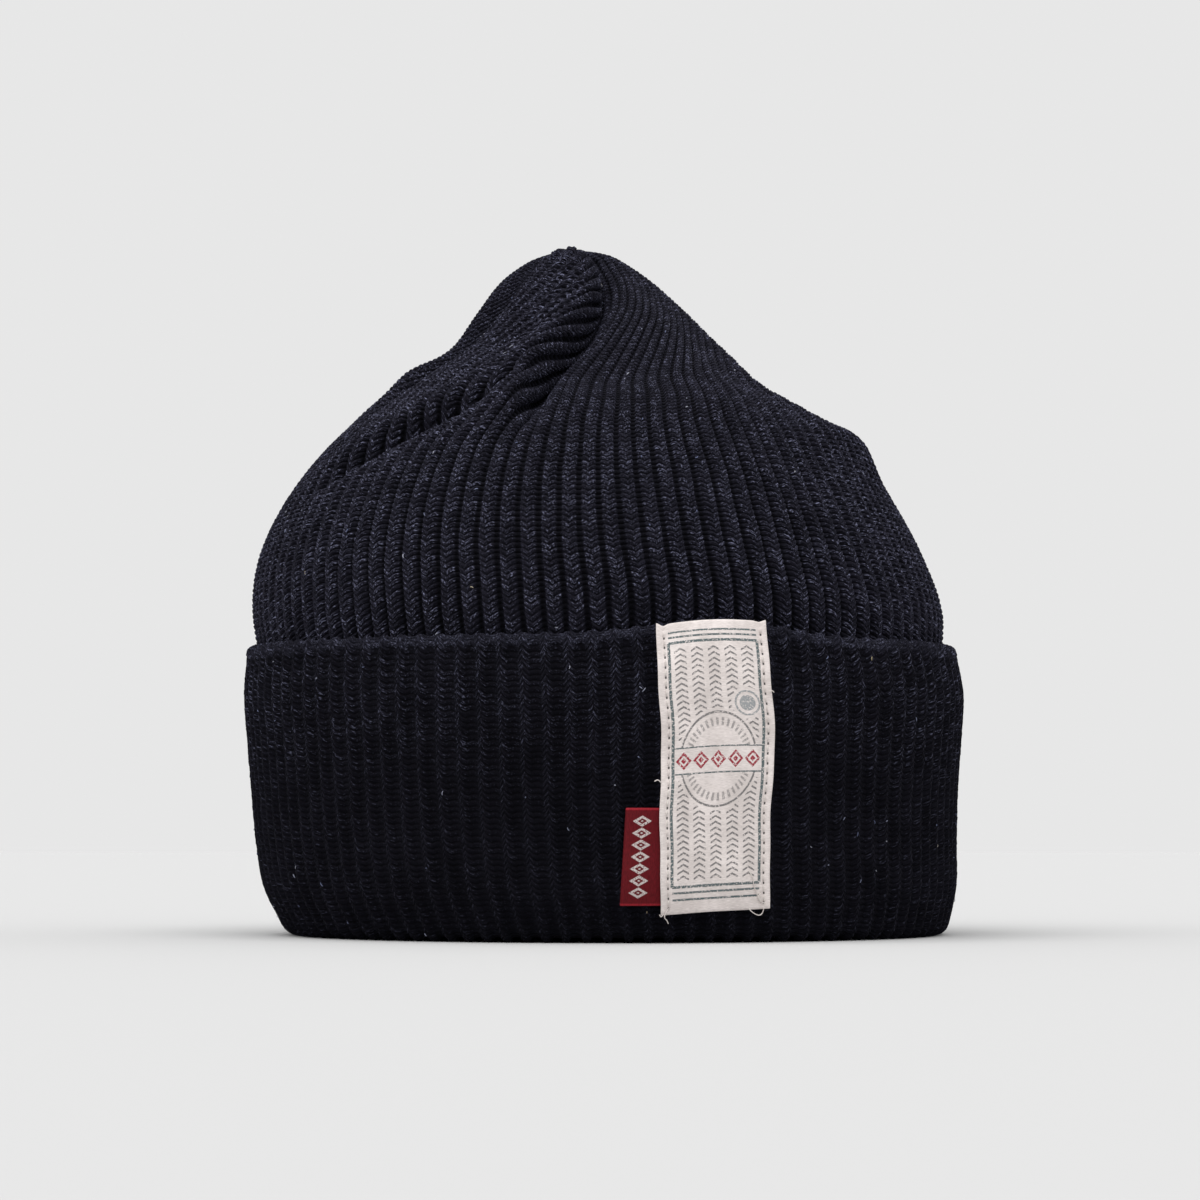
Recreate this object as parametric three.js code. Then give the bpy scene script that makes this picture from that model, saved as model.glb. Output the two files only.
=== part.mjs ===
// A heavy rib-knit beanie with a wide turned-up cuff, a woven label and a folded side tab.
// Millimetres. +Z is up, the front faces -Y, +X is the viewer's right, and the origin is at
// the middle of the rim, in the plane that the hat stands on.
import * as THREE from 'three';

// Knit
const RIBS = 108;
const RIB_RELIEF = 1.2;
const WALL = 3.0;

// Turned-up cuff
const CUFF_HEIGHT_FRONT = 73.4;
const CUFF_HEIGHT_BACK = 77;
const CUFF_PEAK = { angle: -72.5, rise: 3.8, reach: 13 };
const CUFF_GAP = 0.6;
const CUFF_GAP_FLOOR = 8;
const CUFF_EDGE = { inset: 1.0, relief: 0.5 };

// Outer surface of the cuff over the rib crests, in equal steps from the rim to its top edge
const CUFF_SECTIONS = [
  { halfWidth: 86.6, halfLength: 96.0, shiftX: 3.2 },
  { halfWidth: 90.6, halfLength: 100.4, shiftX: 1.6 },
  { halfWidth: 91.8, halfLength: 101.8, shiftX: 0.6 },
  { halfWidth: 92.6, halfLength: 102.8, shiftX: 0.2 },
  { halfWidth: 93.6, halfLength: 103.8, shiftX: 0.1 },
  { halfWidth: 94.4, halfLength: 104.2, shiftX: 0.0 },
  { halfWidth: 93.0, halfLength: 102.6, shiftX: -0.6 },
];

// Round of the rim: how far in from the cuff's surface each ring lies, and its height
const RIM_RINGS = [
  { inset: 1.9, height: 0.0, relief: 0.4 },
  { inset: 0.8, height: 0.8, relief: 0.8 },
  { inset: 0.0, height: 3.2, relief: 1.0 },
];
const RIM_FLAT = 3.0;
const RIM_INNER_ROUND = { inset: 6.2, height: 1.4 };

// Outer surface of the crown over the rib crests, in equal steps from the cuff's edge to the top
const CROWN_SECTIONS = [
  { height: 68.0, halfWidth: 89.0, halfLength: 98.6, shiftX: -0.8, shiftY: 0.0 },
  { height: 82.0, halfWidth: 90.6, halfLength: 99.0, shiftX: -1.6, shiftY: 0.0 },
  { height: 96.0, halfWidth: 88.0, halfLength: 95.8, shiftX: -3.2, shiftY: 1.0 },
  { height: 109.5, halfWidth: 82.0, halfLength: 89.5, shiftX: -3.8, shiftY: 2.0 },
  { height: 122.5, halfWidth: 73.0, halfLength: 81.0, shiftX: -3.6, shiftY: 3.0 },
  { height: 134.0, halfWidth: 62.0, halfLength: 71.0, shiftX: -2.6, shiftY: 4.0 },
  { height: 143.5, halfWidth: 48.0, halfLength: 59.5, shiftX: -3.0, shiftY: 5.5 },
  { height: 152.8, halfWidth: 35.0, halfLength: 47.0, shiftX: -4.2, shiftY: 6.5 },
  { height: 163.0, halfWidth: 26.5, halfLength: 35.0, shiftX: -6.0, shiftY: 7.0 },
  { height: 172.6, halfWidth: 19.0, halfLength: 23.0, shiftX: -7.6, shiftY: 7.0 },
  { height: 179.6, halfWidth: 11.5, halfLength: 12.5, shiftX: -8.4, shiftY: 7.0 },
];
const CROWN_TOP = 182.5;
const INNER_TOP = 158;

// Swellings and hollows of the crown: where each lies, how far out it goes and how far it reaches
const SWELLINGS = [
  { angle: -20, along: 0.425, out: 3.0, reachAngle: 24, reachAlong: 0.05 },
  { angle: -16, along: 0.58, out: -3.6, reachAngle: 34, reachAlong: 0.08 },
  { angle: -84, along: 0.6, out: -3.6, reachAngle: 16, reachAlong: 0.1 },
  { angle: 176, along: 0.61, out: 2.2, reachAngle: 22, reachAlong: 0.05 },
  { angle: -60, along: 0.36, out: 1.6, reachAngle: 24, reachAlong: 0.16 },
  { angle: -128, along: 0.3, out: 1.4, reachAngle: 20, reachAlong: 0.16 },
  { angle: 60, along: 0.3, out: 2.0, reachAngle: 26, reachAlong: 0.18 },
  { angle: 130, along: 0.42, out: 1.8, reachAngle: 20, reachAlong: 0.14 },
  { angle: 96, along: 0.2, out: -1.0, reachAngle: 14, reachAlong: 0.16 },
];

// Darts that close the crown: a crease from a share of the way up to the top, with a ridge
// beside it that leans over the crease. Angles run anticlockwise from +X, seen from above, and
// drift is how far a dart would turn over the whole crown, in degrees.
const DARTS = [
  { angle: -104, drift: 0, from: 0.38, depth: 9, width: 3.2, ridge: 5, ridgeWidth: 8, lean: 3 },
  { angle: -22, drift: 0, from: 0.44, depth: 6, width: 5, ridge: 2.6, ridgeWidth: 9, lean: 0 },
  { angle: 82, drift: 0, from: 0.5, depth: 7, width: 4.6, ridge: 3, ridgeWidth: 9, lean: 1 },
  { angle: 208, drift: -80, from: 0.45, depth: 5, width: 5, ridge: 2.2, ridgeWidth: 9, lean: 0.5 },
];

// Folds of the shoulder, made as the darts are, each gone again at a share of the way up
const FOLDS = [
  { angle: 205, drift: 150, from: 0.28, to: 0.62, depth: 8, width: 6, ridge: 1.8, ridgeWidth: 10, lean: 0 },
];
const DART_FULL_AFTER = 0.16;
const DART_FADE_AT_TOP = 0.45;
const SWIRL = 45;
const SWIRL_FROM = 0.55;
const GORE_PUFF = 1.5;
const BUNCHED_SHARE = 0.9;
const BUNCHED_AFTER = 0.14;
const INNER_DROP = [0.25, 0.8];
const RIBS_SINK = [0.45, 0.75];

// Woven label on the front of the cuff, up to the cuff's edge. It leans by the distance that
// its top lies to the right of its foot, and its right side lies higher by its skew.
const LABEL = { left: 12.6, right: 38.7, bottom: 7.4, top: 75.9, thickness: 0.8, lean: -1.2, skew: 1.5 };
const LABEL_COLUMNS = 8;
const LABEL_ROWS = 12;

// Folded tab, tucked under the label's left edge, with its fold standing off the cuff
const TAB = { left: 4.5, right: 14.8, bottom: 8.9, top: 31.9, thickness: 0.9, lean: 1.4 };
const TAB_FOLD_LIFT = 0.8;
const TAB_COLUMNS = 4;
const TAB_ROWS = 4;

// Gap between the knit and what is sewn on it, and between the tab and the label over it
const SEWN_GAP = 0.4;
const TAB_COVER_GAP = 0.35;
const LABEL_RISE = { fullTo: 2.8, goneBy: 9, fullAbove: 4, goneAbove: 11 };

// Mesh
const RIB_RING = 2 * RIBS;
const PLAIN_RING = RIBS / 2;
const CUFF_RING_SHARES = [0.22, 0.44, 0.66, 0.84, 0.965];
const GAP_RING_SHARES = [0.96, 0.66, 0.36];
const CROWN_RIB_RINGS = [0.05, 0.14, 0.24, 0.34, 0.43, 0.51, 0.58, 0.65, 0.72];
const CROWN_TOP_RINGS = [0.79, 0.86, 0.93, 1.0];
const INNER_BAND_SHARES = [0.9, 0.6, 0.3, 0.06];
const INNER_CROWN_RINGS = [0.84, 0.76, 0.68, 0.6, 0.51, 0.42, 0.32, 0.21, 0.1];

const TURN = 2 * Math.PI;
const radians = THREE.MathUtils.degToRad;
const smoothstep = THREE.MathUtils.smoothstep;

// One row of a table, read part of the way along it on a smooth curve through its rows
function readRow(rows, along) {
  const place = along * (rows.length - 1);
  const low = Math.min(Math.floor(place), rows.length - 2);
  const f = place - low;
  const rowAt = (i) => rows[THREE.MathUtils.clamp(i, 0, rows.length - 1)];
  const row = {};
  for (const name of Object.keys(rows[0])) {
    const [a, b, c, d] = [low - 1, low, low + 1, low + 2].map((i) => rowAt(i)[name]);
    const bend = 2 * a - 5 * b + 4 * c - d + f * (3 * (b - c) + d - a);
    row[name] = b + 0.5 * f * (c - a + f * bend);
  }
  return row;
}

// Angle from one direction to another, between half a turn back and half a turn on
function angleFrom(degrees, angle) {
  return THREE.MathUtils.euclideanModulo(angle - radians(degrees) + Math.PI, TURN) - Math.PI;
}

// The cuff's top edge is a little lower at the front, and drawn up behind the label
function cuffHeight(angle) {
  const front = (1 - Math.sin(angle)) / 2;
  const across = angleFrom(CUFF_PEAK.angle, angle) / radians(CUFF_PEAK.reach);
  const peak = CUFF_PEAK.rise * Math.exp(-across * across);
  return THREE.MathUtils.lerp(CUFF_HEIGHT_BACK, CUFF_HEIGHT_FRONT, front) + peak;
}

// A point of the cuff, at a share of its height and a distance out from its crests
function cuffPoint(angle, share, out, height = share * cuffHeight(angle)) {
  const row = readRow(CUFF_SECTIONS, share);
  const x = row.shiftX + (row.halfWidth + out) * Math.cos(angle);
  const y = (row.halfLength + out) * Math.sin(angle);
  return new THREE.Vector3(x, y, height);
}

// How far the swellings, the puffed gores, the darts and the folds move the crown's surface out
// and round
function crownRelief(angle, along, radius) {
  let out = GORE_PUFF * smoothstep(along, 0.2, 0.6) * (1 - smoothstep(along, 0.6, 1));
  let round = 0;
  for (const swelling of SWELLINGS) {
    const across = angleFrom(swelling.angle, angle) / radians(swelling.reachAngle);
    const up = (along - swelling.along) / swelling.reachAlong;
    out += swelling.out * Math.exp(-across * across - up * up);
  }
  for (const dart of [...DARTS, ...FOLDS]) {
    const grown = smoothstep(along, dart.from, dart.from + DART_FULL_AFTER);
    const gone = dart.to ? smoothstep(along, dart.to - DART_FULL_AFTER, dart.to) : 0;
    const strength = grown * (1 - gone) * (1 - DART_FADE_AT_TOP * smoothstep(along, 0.8, 1));
    const dartAngle = dart.angle + dart.drift * Math.max(0, along - dart.from);
    const distance = angleFrom(dartAngle, angle) * radius;
    const crease = Math.exp(-Math.abs(distance) / dart.width);
    const beside = (distance + dart.ridgeWidth) / dart.ridgeWidth;
    const ridge = Math.exp(-beside * beside * 1.5);
    out += strength * (dart.ridge * ridge - dart.depth * crease);
    round += strength * dart.lean * ridge;
  }
  return { out, round };
}

// A point of the crown, part of the way along from the cuff's edge to the top, and a distance
// out from its crests along the surface's own direction
function crownPoint(angle, along, out) {
  const row = readRow(CROWN_SECTIONS, along);
  const ahead = readRow(CROWN_SECTIONS, Math.min(1, along + 0.01));
  const behind = readRow(CROWN_SECTIONS, Math.max(0, along - 0.01));
  const rise = ahead.height - behind.height;
  const narrowing = (behind.halfWidth - ahead.halfWidth + behind.halfLength - ahead.halfLength) / 2;
  const slope = Math.atan2(narrowing, rise);
  const radius = (row.halfWidth + row.halfLength) / 2;
  const relief = crownRelief(angle, along, radius);
  const turned = angle + radians(SWIRL) * smoothstep(along, SWIRL_FROM, 1) + relief.round / radius;
  const outward = (out + relief.out) * Math.cos(slope);
  const edgeTilt = (cuffHeight(angle) - CUFF_HEIGHT_FRONT) * (1 - smoothstep(along, 0, 0.4));
  return new THREE.Vector3(
    row.shiftX + (row.halfWidth + outward) * Math.cos(turned),
    row.shiftY + (row.halfLength + outward) * Math.sin(turned),
    row.height + edgeTilt + (out + relief.out) * Math.sin(slope),
  );
}

// The inside of the crown clears the deepest crease, where the knit is bunched together
function innerCrownPoint(angle, along) {
  const row = readRow(CROWN_SECTIONS, along);
  const depths = [...DARTS, ...FOLDS].map(({ depth, from }) => {
    return depth * smoothstep(along, from, from + BUNCHED_AFTER);
  });
  const inset = WALL + BUNCHED_SHARE * Math.max(...depths);
  const edgeTilt = (cuffHeight(angle) - CUFF_HEIGHT_FRONT) * (1 - smoothstep(along, 0, 0.4));
  return new THREE.Vector3(
    row.shiftX + (row.halfWidth - inset) * Math.cos(angle),
    row.shiftY + (row.halfLength - inset) * Math.sin(angle),
    row.height + edgeTilt - inset * smoothstep(along, ...INNER_DROP),
  );
}

// A ring of points round the hat. The angle starts at the front.
function ring(count, place) {
  return Array.from({ length: count }, (_, i) => place((i / count) * TURN - Math.PI / 2, i));
}

// A ring with a crest and a groove at each rib
function ribbedRing(relief, place) {
  return ring(RIB_RING, (angle, i) => place(angle, i % 2 === 0 ? 0 : -RIB_RELIEF * relief));
}

// Closed skin through rings of points, with a point at each end
function closedSkin(startPole, rings, endPole) {
  const points = [startPole, ...rings.flat(), endPole];
  const triangles = [];
  let first = 1;
  rings[0].forEach((_, i) => triangles.push([0, first + i, first + ((i + 1) % rings[0].length)]));
  for (let k = 0; k + 1 < rings.length; k += 1) {
    const [lower, upper] = [rings[k].length, rings[k + 1].length];
    const next = first + lower;
    let [i, j] = [0, 0];
    while (i < lower || j < upper) {
      const [a, b] = [first + (i % lower), next + (j % upper)];
      if ((i + 1) / lower <= (j + 1) / upper && i < lower) {
        triangles.push([a, b, first + ((i + 1) % lower)]);
        i += 1;
      } else {
        triangles.push([a, b, next + ((j + 1) % upper)]);
        j += 1;
      }
    }
    first = next;
  }
  const last = rings[rings.length - 1].length;
  for (let i = 0; i < last; i += 1) {
    triangles.push([first + i, first + last, first + ((i + 1) % last)]);
  }
  return solidGeometry(points, triangles);
}

// Geometry from points and triangles, turned so that its faces point out
function solidGeometry(points, triangles) {
  const volume = triangles.reduce((sum, [a, b, c]) => {
    return sum + points[a].dot(new THREE.Vector3().crossVectors(points[b], points[c]));
  }, 0);
  const faces = volume > 0 ? triangles : triangles.map(([a, b, c]) => [a, c, b]);
  const geometry = new THREE.BufferGeometry().setFromPoints(points);
  geometry.setIndex(faces.flat());
  geometry.computeVertexNormals();
  return geometry;
}

// Cap: down the inside, round the rim, up the cuff, down and up its gap, and over the crown
function knitCap() {
  const plainCuffRing = (share, inset, height) => {
    return ring(PLAIN_RING, (angle) => cuffPoint(angle, share, -inset, height));
  };
  const gapShares = [...GAP_RING_SHARES, CUFF_GAP_FLOOR / CUFF_HEIGHT_FRONT];
  const rings = [
    ...INNER_CROWN_RINGS.map((along) => ring(PLAIN_RING, (angle) => innerCrownPoint(angle, along))),
    ...INNER_BAND_SHARES.map((share) => plainCuffRing(share, 2 * WALL + CUFF_GAP)),
    plainCuffRing(0, RIM_INNER_ROUND.inset, RIM_INNER_ROUND.height),
    plainCuffRing(0, RIM_RINGS[0].inset + RIM_FLAT, 0),
    ...RIM_RINGS.map(({ inset, height, relief }) => {
      return ribbedRing(relief, (angle, out) => cuffPoint(angle, 0, out - inset, height));
    }),
    ...CUFF_RING_SHARES.map((share) => ribbedRing(1, (angle, out) => cuffPoint(angle, share, out))),
    ribbedRing(CUFF_EDGE.relief, (angle, out) => cuffPoint(angle, 1, out - CUFF_EDGE.inset)),
    ...gapShares.map((share) => plainCuffRing(share, WALL)),
    ...gapShares.toReversed().map((share) => plainCuffRing(share, WALL + CUFF_GAP)),
    ...CROWN_RIB_RINGS.map((along) => {
      const relief = 1 - smoothstep(along, ...RIBS_SINK) / 2;
      return ribbedRing(relief, (angle, out) => crownPoint(angle, along, out));
    }),
    ...CROWN_TOP_RINGS.map((along) => {
      return ring(RIBS, (angle) => crownPoint(angle, along, -RIB_RELIEF / 2));
    }),
  ];
  const top = CROWN_SECTIONS[CROWN_SECTIONS.length - 1];
  const poleAt = (height) => new THREE.Vector3(top.shiftX, top.shiftY, height);
  return closedSkin(poleAt(INNER_TOP), rings, poleAt(CROWN_TOP));
}

// Thin curved piece with a front and a back, both laid out in columns and rows
function sewnPlate(columns, rows, place) {
  const points = [];
  for (const side of [0, 1]) {
    for (let j = 0; j <= rows; j += 1) {
      for (let i = 0; i <= columns; i += 1) points.push(place(i / columns, j / rows, side));
    }
  }
  const at = (i, j, side) => (side * (rows + 1) + j) * (columns + 1) + i;
  const triangles = [];
  const addQuad = (a, b, c, d) => triangles.push([a, b, c], [a, c, d]);
  for (let j = 0; j < rows; j += 1) {
    for (let i = 0; i < columns; i += 1) {
      addQuad(at(i, j, 1), at(i + 1, j, 1), at(i + 1, j + 1, 1), at(i, j + 1, 1));
      addQuad(at(i, j, 0), at(i, j + 1, 0), at(i + 1, j + 1, 0), at(i + 1, j, 0));
    }
    addQuad(at(0, j, 0), at(0, j, 1), at(0, j + 1, 1), at(0, j + 1, 0));
    addQuad(at(columns, j, 0), at(columns, j + 1, 0), at(columns, j + 1, 1), at(columns, j, 1));
  }
  for (let i = 0; i < columns; i += 1) {
    addQuad(at(i, 0, 0), at(i + 1, 0, 0), at(i + 1, 0, 1), at(i, 0, 1));
    addQuad(at(i, rows, 0), at(i, rows, 1), at(i + 1, rows, 1), at(i + 1, rows, 0));
  }
  return solidGeometry(points, triangles);
}

// A point in front of the cuff, at a distance to the right, a height and a distance out
function pointOnFront(x, height, out) {
  const facing = -Math.acos(x / CUFF_SECTIONS[0].halfWidth);
  const row = readRow(CUFF_SECTIONS, Math.min(1, height / cuffHeight(facing)));
  const angle = -Math.acos((x - row.shiftX) / (row.halfWidth + out));
  return cuffPoint(angle, Math.min(1, height / cuffHeight(angle)), out, height);
}

// How far the label rises over the tab
function labelRise(x, height) {
  const beside = x - LABEL.left;
  const above = height - TAB.top;
  const across = 1 - smoothstep(beside, LABEL_RISE.fullTo, LABEL_RISE.goneBy);
  const up = 1 - smoothstep(above, LABEL_RISE.fullAbove, LABEL_RISE.goneAbove);
  return (TAB.thickness + TAB_COVER_GAP) * across * up;
}

function wovenLabel() {
  return sewnPlate(LABEL_COLUMNS, LABEL_ROWS, (u, v, side) => {
    const x = THREE.MathUtils.lerp(LABEL.left, LABEL.right, u) + LABEL.lean * (v - 0.5);
    const height = THREE.MathUtils.lerp(LABEL.bottom, LABEL.top, v) + LABEL.skew * (u - 0.5);
    return pointOnFront(x, height, SEWN_GAP + labelRise(x, height) + side * LABEL.thickness);
  });
}

function sideTab() {
  return sewnPlate(TAB_COLUMNS, TAB_ROWS, (u, v, side) => {
    const x = THREE.MathUtils.lerp(TAB.left, TAB.right, u) + TAB.lean * (v - 0.5);
    const height = THREE.MathUtils.lerp(TAB.bottom, TAB.top, v);
    const foldLift = TAB_FOLD_LIFT * (1 - smoothstep(u, 0, 0.7));
    return pointOnFront(x, height, SEWN_GAP + foldLift + side * TAB.thickness);
  });
}

const PARTS = [
  { name: 'knit_cap', geometry: knitCap(), color: 0x15161f, roughness: 0.95 },
  { name: 'woven_label', geometry: wovenLabel(), color: 0xd9cec6, roughness: 0.8 },
  { name: 'side_tab', geometry: sideTab(), color: 0x9c1f34, roughness: 0.75 },
];

const group = new THREE.Group();
for (const { name, geometry, color, roughness } of PARTS) {
  const material = new THREE.MeshStandardMaterial({ color, roughness, metalness: 0 });
  const mesh = new THREE.Mesh(geometry, material);
  mesh.name = name;
  group.add(mesh);
}

export default group;
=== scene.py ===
"""A rib-knit beanie: the knit, the woven label and the folded tab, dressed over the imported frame.

Lengths in the tables are millimetres and are turned to metres as each mesh is made. +Z is up, the
front faces -Y and angles run anticlockwise from +X, seen from above.
"""
import math

import bpy
import numpy as np
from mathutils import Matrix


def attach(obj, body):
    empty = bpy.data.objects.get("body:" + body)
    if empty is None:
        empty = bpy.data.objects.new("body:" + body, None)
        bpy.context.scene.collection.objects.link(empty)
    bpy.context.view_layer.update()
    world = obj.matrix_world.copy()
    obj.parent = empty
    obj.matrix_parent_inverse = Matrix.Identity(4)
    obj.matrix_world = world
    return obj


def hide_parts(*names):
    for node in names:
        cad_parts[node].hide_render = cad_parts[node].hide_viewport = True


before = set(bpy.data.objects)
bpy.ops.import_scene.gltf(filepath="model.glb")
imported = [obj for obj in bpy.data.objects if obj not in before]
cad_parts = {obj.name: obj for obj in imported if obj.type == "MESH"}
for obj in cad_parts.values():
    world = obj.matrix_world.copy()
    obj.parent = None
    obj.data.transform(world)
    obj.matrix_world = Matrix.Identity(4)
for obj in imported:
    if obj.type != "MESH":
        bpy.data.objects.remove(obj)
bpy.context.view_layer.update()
MM = 0.001
TURN = 2 * np.pi

# Knit: ribs round the hat, and the height of one course of stitches
RIBS = 108
COURSE = 1.45
ROWS_PER_COURSE = 3
WALL = 3.0
RIB_PITCH = 5.7

# Turned-up cuff
CUFF_HEIGHT_FRONT = 73.4
CUFF_HEIGHT_BACK = 77.0
CUFF_PEAK = {"angle": -72.5, "rise": 3.8, "reach": 13}
CUFF_GAP = 0.6
CUFF_GAP_FLOOR = 8.0
RIM_RADIUS = 3.3
EDGE_RADIUS = 1.5
BAND_TOP = 60.0

# Outer surface of the cuff over its crests, in equal steps from the rim to its top edge:
# half width, half length, shift along X
CUFF_SECTIONS = np.array([
    (86.6, 96.0, 3.2),
    (90.6, 100.4, 1.6),
    (91.8, 101.8, 0.6),
    (92.6, 102.8, 0.2),
    (93.6, 103.8, 0.1),
    (94.4, 104.2, 0.0),
    (93.0, 102.6, -0.6),
])

# Outer surface of the crown over its crests, in equal steps from the cuff's edge to the top:
# height, half width, half length, shift along X, shift along Y
CROWN_SECTIONS = np.array([
    (68.0, 89.0, 98.6, -0.8, 0.0),
    (82.0, 90.6, 99.0, -1.6, 0.0),
    (96.0, 88.0, 95.8, -3.2, 1.0),
    (109.5, 82.0, 89.5, -3.8, 2.0),
    (122.5, 73.0, 81.0, -3.6, 3.0),
    (134.0, 62.0, 71.0, -2.6, 4.0),
    (143.5, 48.0, 59.5, -3.0, 5.5),
    (152.8, 35.0, 47.0, -4.2, 6.5),
    (163.0, 26.5, 35.0, -6.0, 7.0),
    (172.6, 19.0, 23.0, -7.6, 7.0),
    (179.6, 11.5, 12.5, -8.4, 7.0),
])
CROWN_TOP = 182.2
INNER_TOP = 158.0

# Swellings and hollows of the crown: angle, along, out, reach in degrees, reach along
SWELLINGS = (
    (-20, 0.425, 3.0, 24, 0.05),
    (-16, 0.58, -3.6, 34, 0.08),
    (-84, 0.6, -3.6, 16, 0.1),
    (176, 0.61, 2.2, 22, 0.05),
    (-60, 0.36, 1.6, 24, 0.16),
    (-128, 0.3, 1.4, 20, 0.16),
    (60, 0.3, 2.0, 26, 0.18),
    (130, 0.42, 1.8, 20, 0.14),
    (96, 0.2, -1.0, 14, 0.16),
)

# Darts that close the crown: angle, drift in degrees over the whole crown, from, depth, width,
# ridge, ridge width, lean
DARTS = (
    (-104, 0, 0.38, 9.0, 3.2, 5.0, 8.0, 3.0),
    (-22, 0, 0.44, 6.0, 5.0, 2.6, 9.0, 0.0),
    (82, 0, 0.50, 7.0, 4.6, 3.0, 9.0, 1.0),
    (208, -80, 0.45, 5.0, 5.0, 2.2, 9.0, 0.5),
)

# Folds of the shoulder, which fade out again: as a dart, with the share at which each has gone
FOLDS = (
    (205, 150, 0.28, 8.0, 6.0, 1.8, 10.0, 0.0, 0.62),
)

# Shares of the crown's height at which each change of its shape begins, is full or has gone, and
# how strong each is: darts, the swirl in degrees, puffed gores in mm, and the bunched inside
DART_FULL_AFTER = 0.16
DART_FADE_AT_TOP = 0.45
DART_FADE_FROM = 0.8
RIDGE_STEEPNESS = 1.5
SWIRL = 45
SWIRL_FROM = 0.55
GORE_PUFF = 1.5
GORE_PUFF_FROM = 0.2
GORE_PUFF_MOST = 0.6
EDGE_TILT_GONE = 0.4
SLOPE_STEP = 0.01
BUNCHED_SHARE = 0.9
BUNCHED_AFTER = 0.14
INNER_DROP = (0.25, 0.8)

# Ribs that run into a dart and end in it: their share at the top, and how the count grows
TAKEN_UP_AT_TOP = 0.7
TAKEN_UP_POWER = 1.3
TAKEN_UP_LEFT_SHOWING = 0.05
TAKEN_UP_SOFTNESS = 0.12
TAKEN_UP_SOFT_FROM = 0.2

# Sewn pieces on the front of the cuff
LABEL = {"left": 12.6, "right": 38.7, "bottom": 7.4, "top": 75.9, "lean": -1.2, "skew": 1.5}
TAB = {"left": 4.5, "right": 14.8, "bottom": 8.9, "top": 31.9, "thickness": 0.9, "lean": 1.4}
TAB_FOLD_LIFT = 0.8
SEWN_GAP = 0.4
TAB_COVER_GAP = 0.35
LABEL_RISE = {"full_to": 2.8, "gone_by": 9.0, "full_above": 4.0, "gone_above": 11.0}


def smoothstep(value, low, high):
    share = np.clip((value - low) / (high - low), 0, 1)
    return share * share * (3 - 2 * share)


def bell(value, centre, width):
    return np.exp(-((value - centre) / width) ** 2)


def read_table(rows, along):
    """Rows of a table, read part of the way along it on a smooth curve through them."""
    place = np.asarray(along, dtype=float) * (len(rows) - 1)
    low = np.clip(np.floor(place).astype(int), 0, len(rows) - 2)
    part = (place - low)[..., None]
    a, b, c, d = (rows[np.clip(low + step, 0, len(rows) - 1)] for step in (-1, 0, 1, 2))
    bend = 2 * a - 5 * b + 4 * c - d + part * (3 * (b - c) + d - a)
    return b + 0.5 * part * (c - a + part * bend)


def angle_from(degrees, angle):
    return np.mod(angle - np.radians(degrees) + np.pi, TURN) - np.pi


def cuff_height(angle):
    """The cuff is a little lower at the front, and drawn up behind the label."""
    across = angle_from(CUFF_PEAK["angle"], angle) / math.radians(CUFF_PEAK["reach"])
    level = CUFF_HEIGHT_BACK + (CUFF_HEIGHT_FRONT - CUFF_HEIGHT_BACK) * (1 - np.sin(angle)) / 2
    return level + CUFF_PEAK["rise"] * np.exp(-across ** 2)


def cuff_point(angle, height, out):
    """A point at a height of the cuff, and a distance out from its crests."""
    share = np.clip(height / cuff_height(angle), 0, 1)
    row = read_table(CUFF_SECTIONS, share)
    x = row[..., 2] + (row[..., 0] + out) * np.cos(angle)
    y = (row[..., 1] + out) * np.sin(angle)
    return np.stack(np.broadcast_arrays(x, y, height), axis=-1)


def dart_angle(dart, along):
    """Where a dart lies, in degrees, as it drifts round on its way up."""
    return dart[0] + dart[1] * np.maximum(0, along - dart[2])


def crown_relief(angle, along, radius):
    """How far the swellings, the puffed gores and the darts move the crown out and round."""
    out = GORE_PUFF * smoothstep(along, GORE_PUFF_FROM, GORE_PUFF_MOST)
    out = out * (1 - smoothstep(along, GORE_PUFF_MOST, 1))
    turn = np.zeros_like(out)
    for at, centre, swell, reach, reach_along in SWELLINGS:
        across = angle_from(at, angle) / math.radians(reach)
        up = (along - centre) / reach_along
        out = out + swell * np.exp(-across ** 2 - up ** 2)
    for dart in DARTS + FOLDS:
        start, depth, width, ridge, ridge_width, lean = dart[2:8]
        grown = smoothstep(along, start, start + DART_FULL_AFTER)
        strength = grown * (1 - DART_FADE_AT_TOP * smoothstep(along, DART_FADE_FROM, 1))
        if dart in FOLDS:
            strength = strength * (1 - smoothstep(along, dart[8] - DART_FULL_AFTER, dart[8]))
        distance = angle_from(dart_angle(dart, along), angle) * radius
        crease = np.exp(-np.abs(distance) / width)
        beside = (distance + ridge_width) / ridge_width
        hump = np.exp(-RIDGE_STEEPNESS * beside ** 2)
        out = out + strength * (ridge * hump - depth * crease)
        turn = turn + strength * lean * hump
    return out, turn


def edge_tilt(angle, along):
    """How far the lower crown rises with the cuff's edge."""
    return (cuff_height(angle) - CUFF_HEIGHT_FRONT) * (1 - smoothstep(along, 0, EDGE_TILT_GONE))


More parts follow.
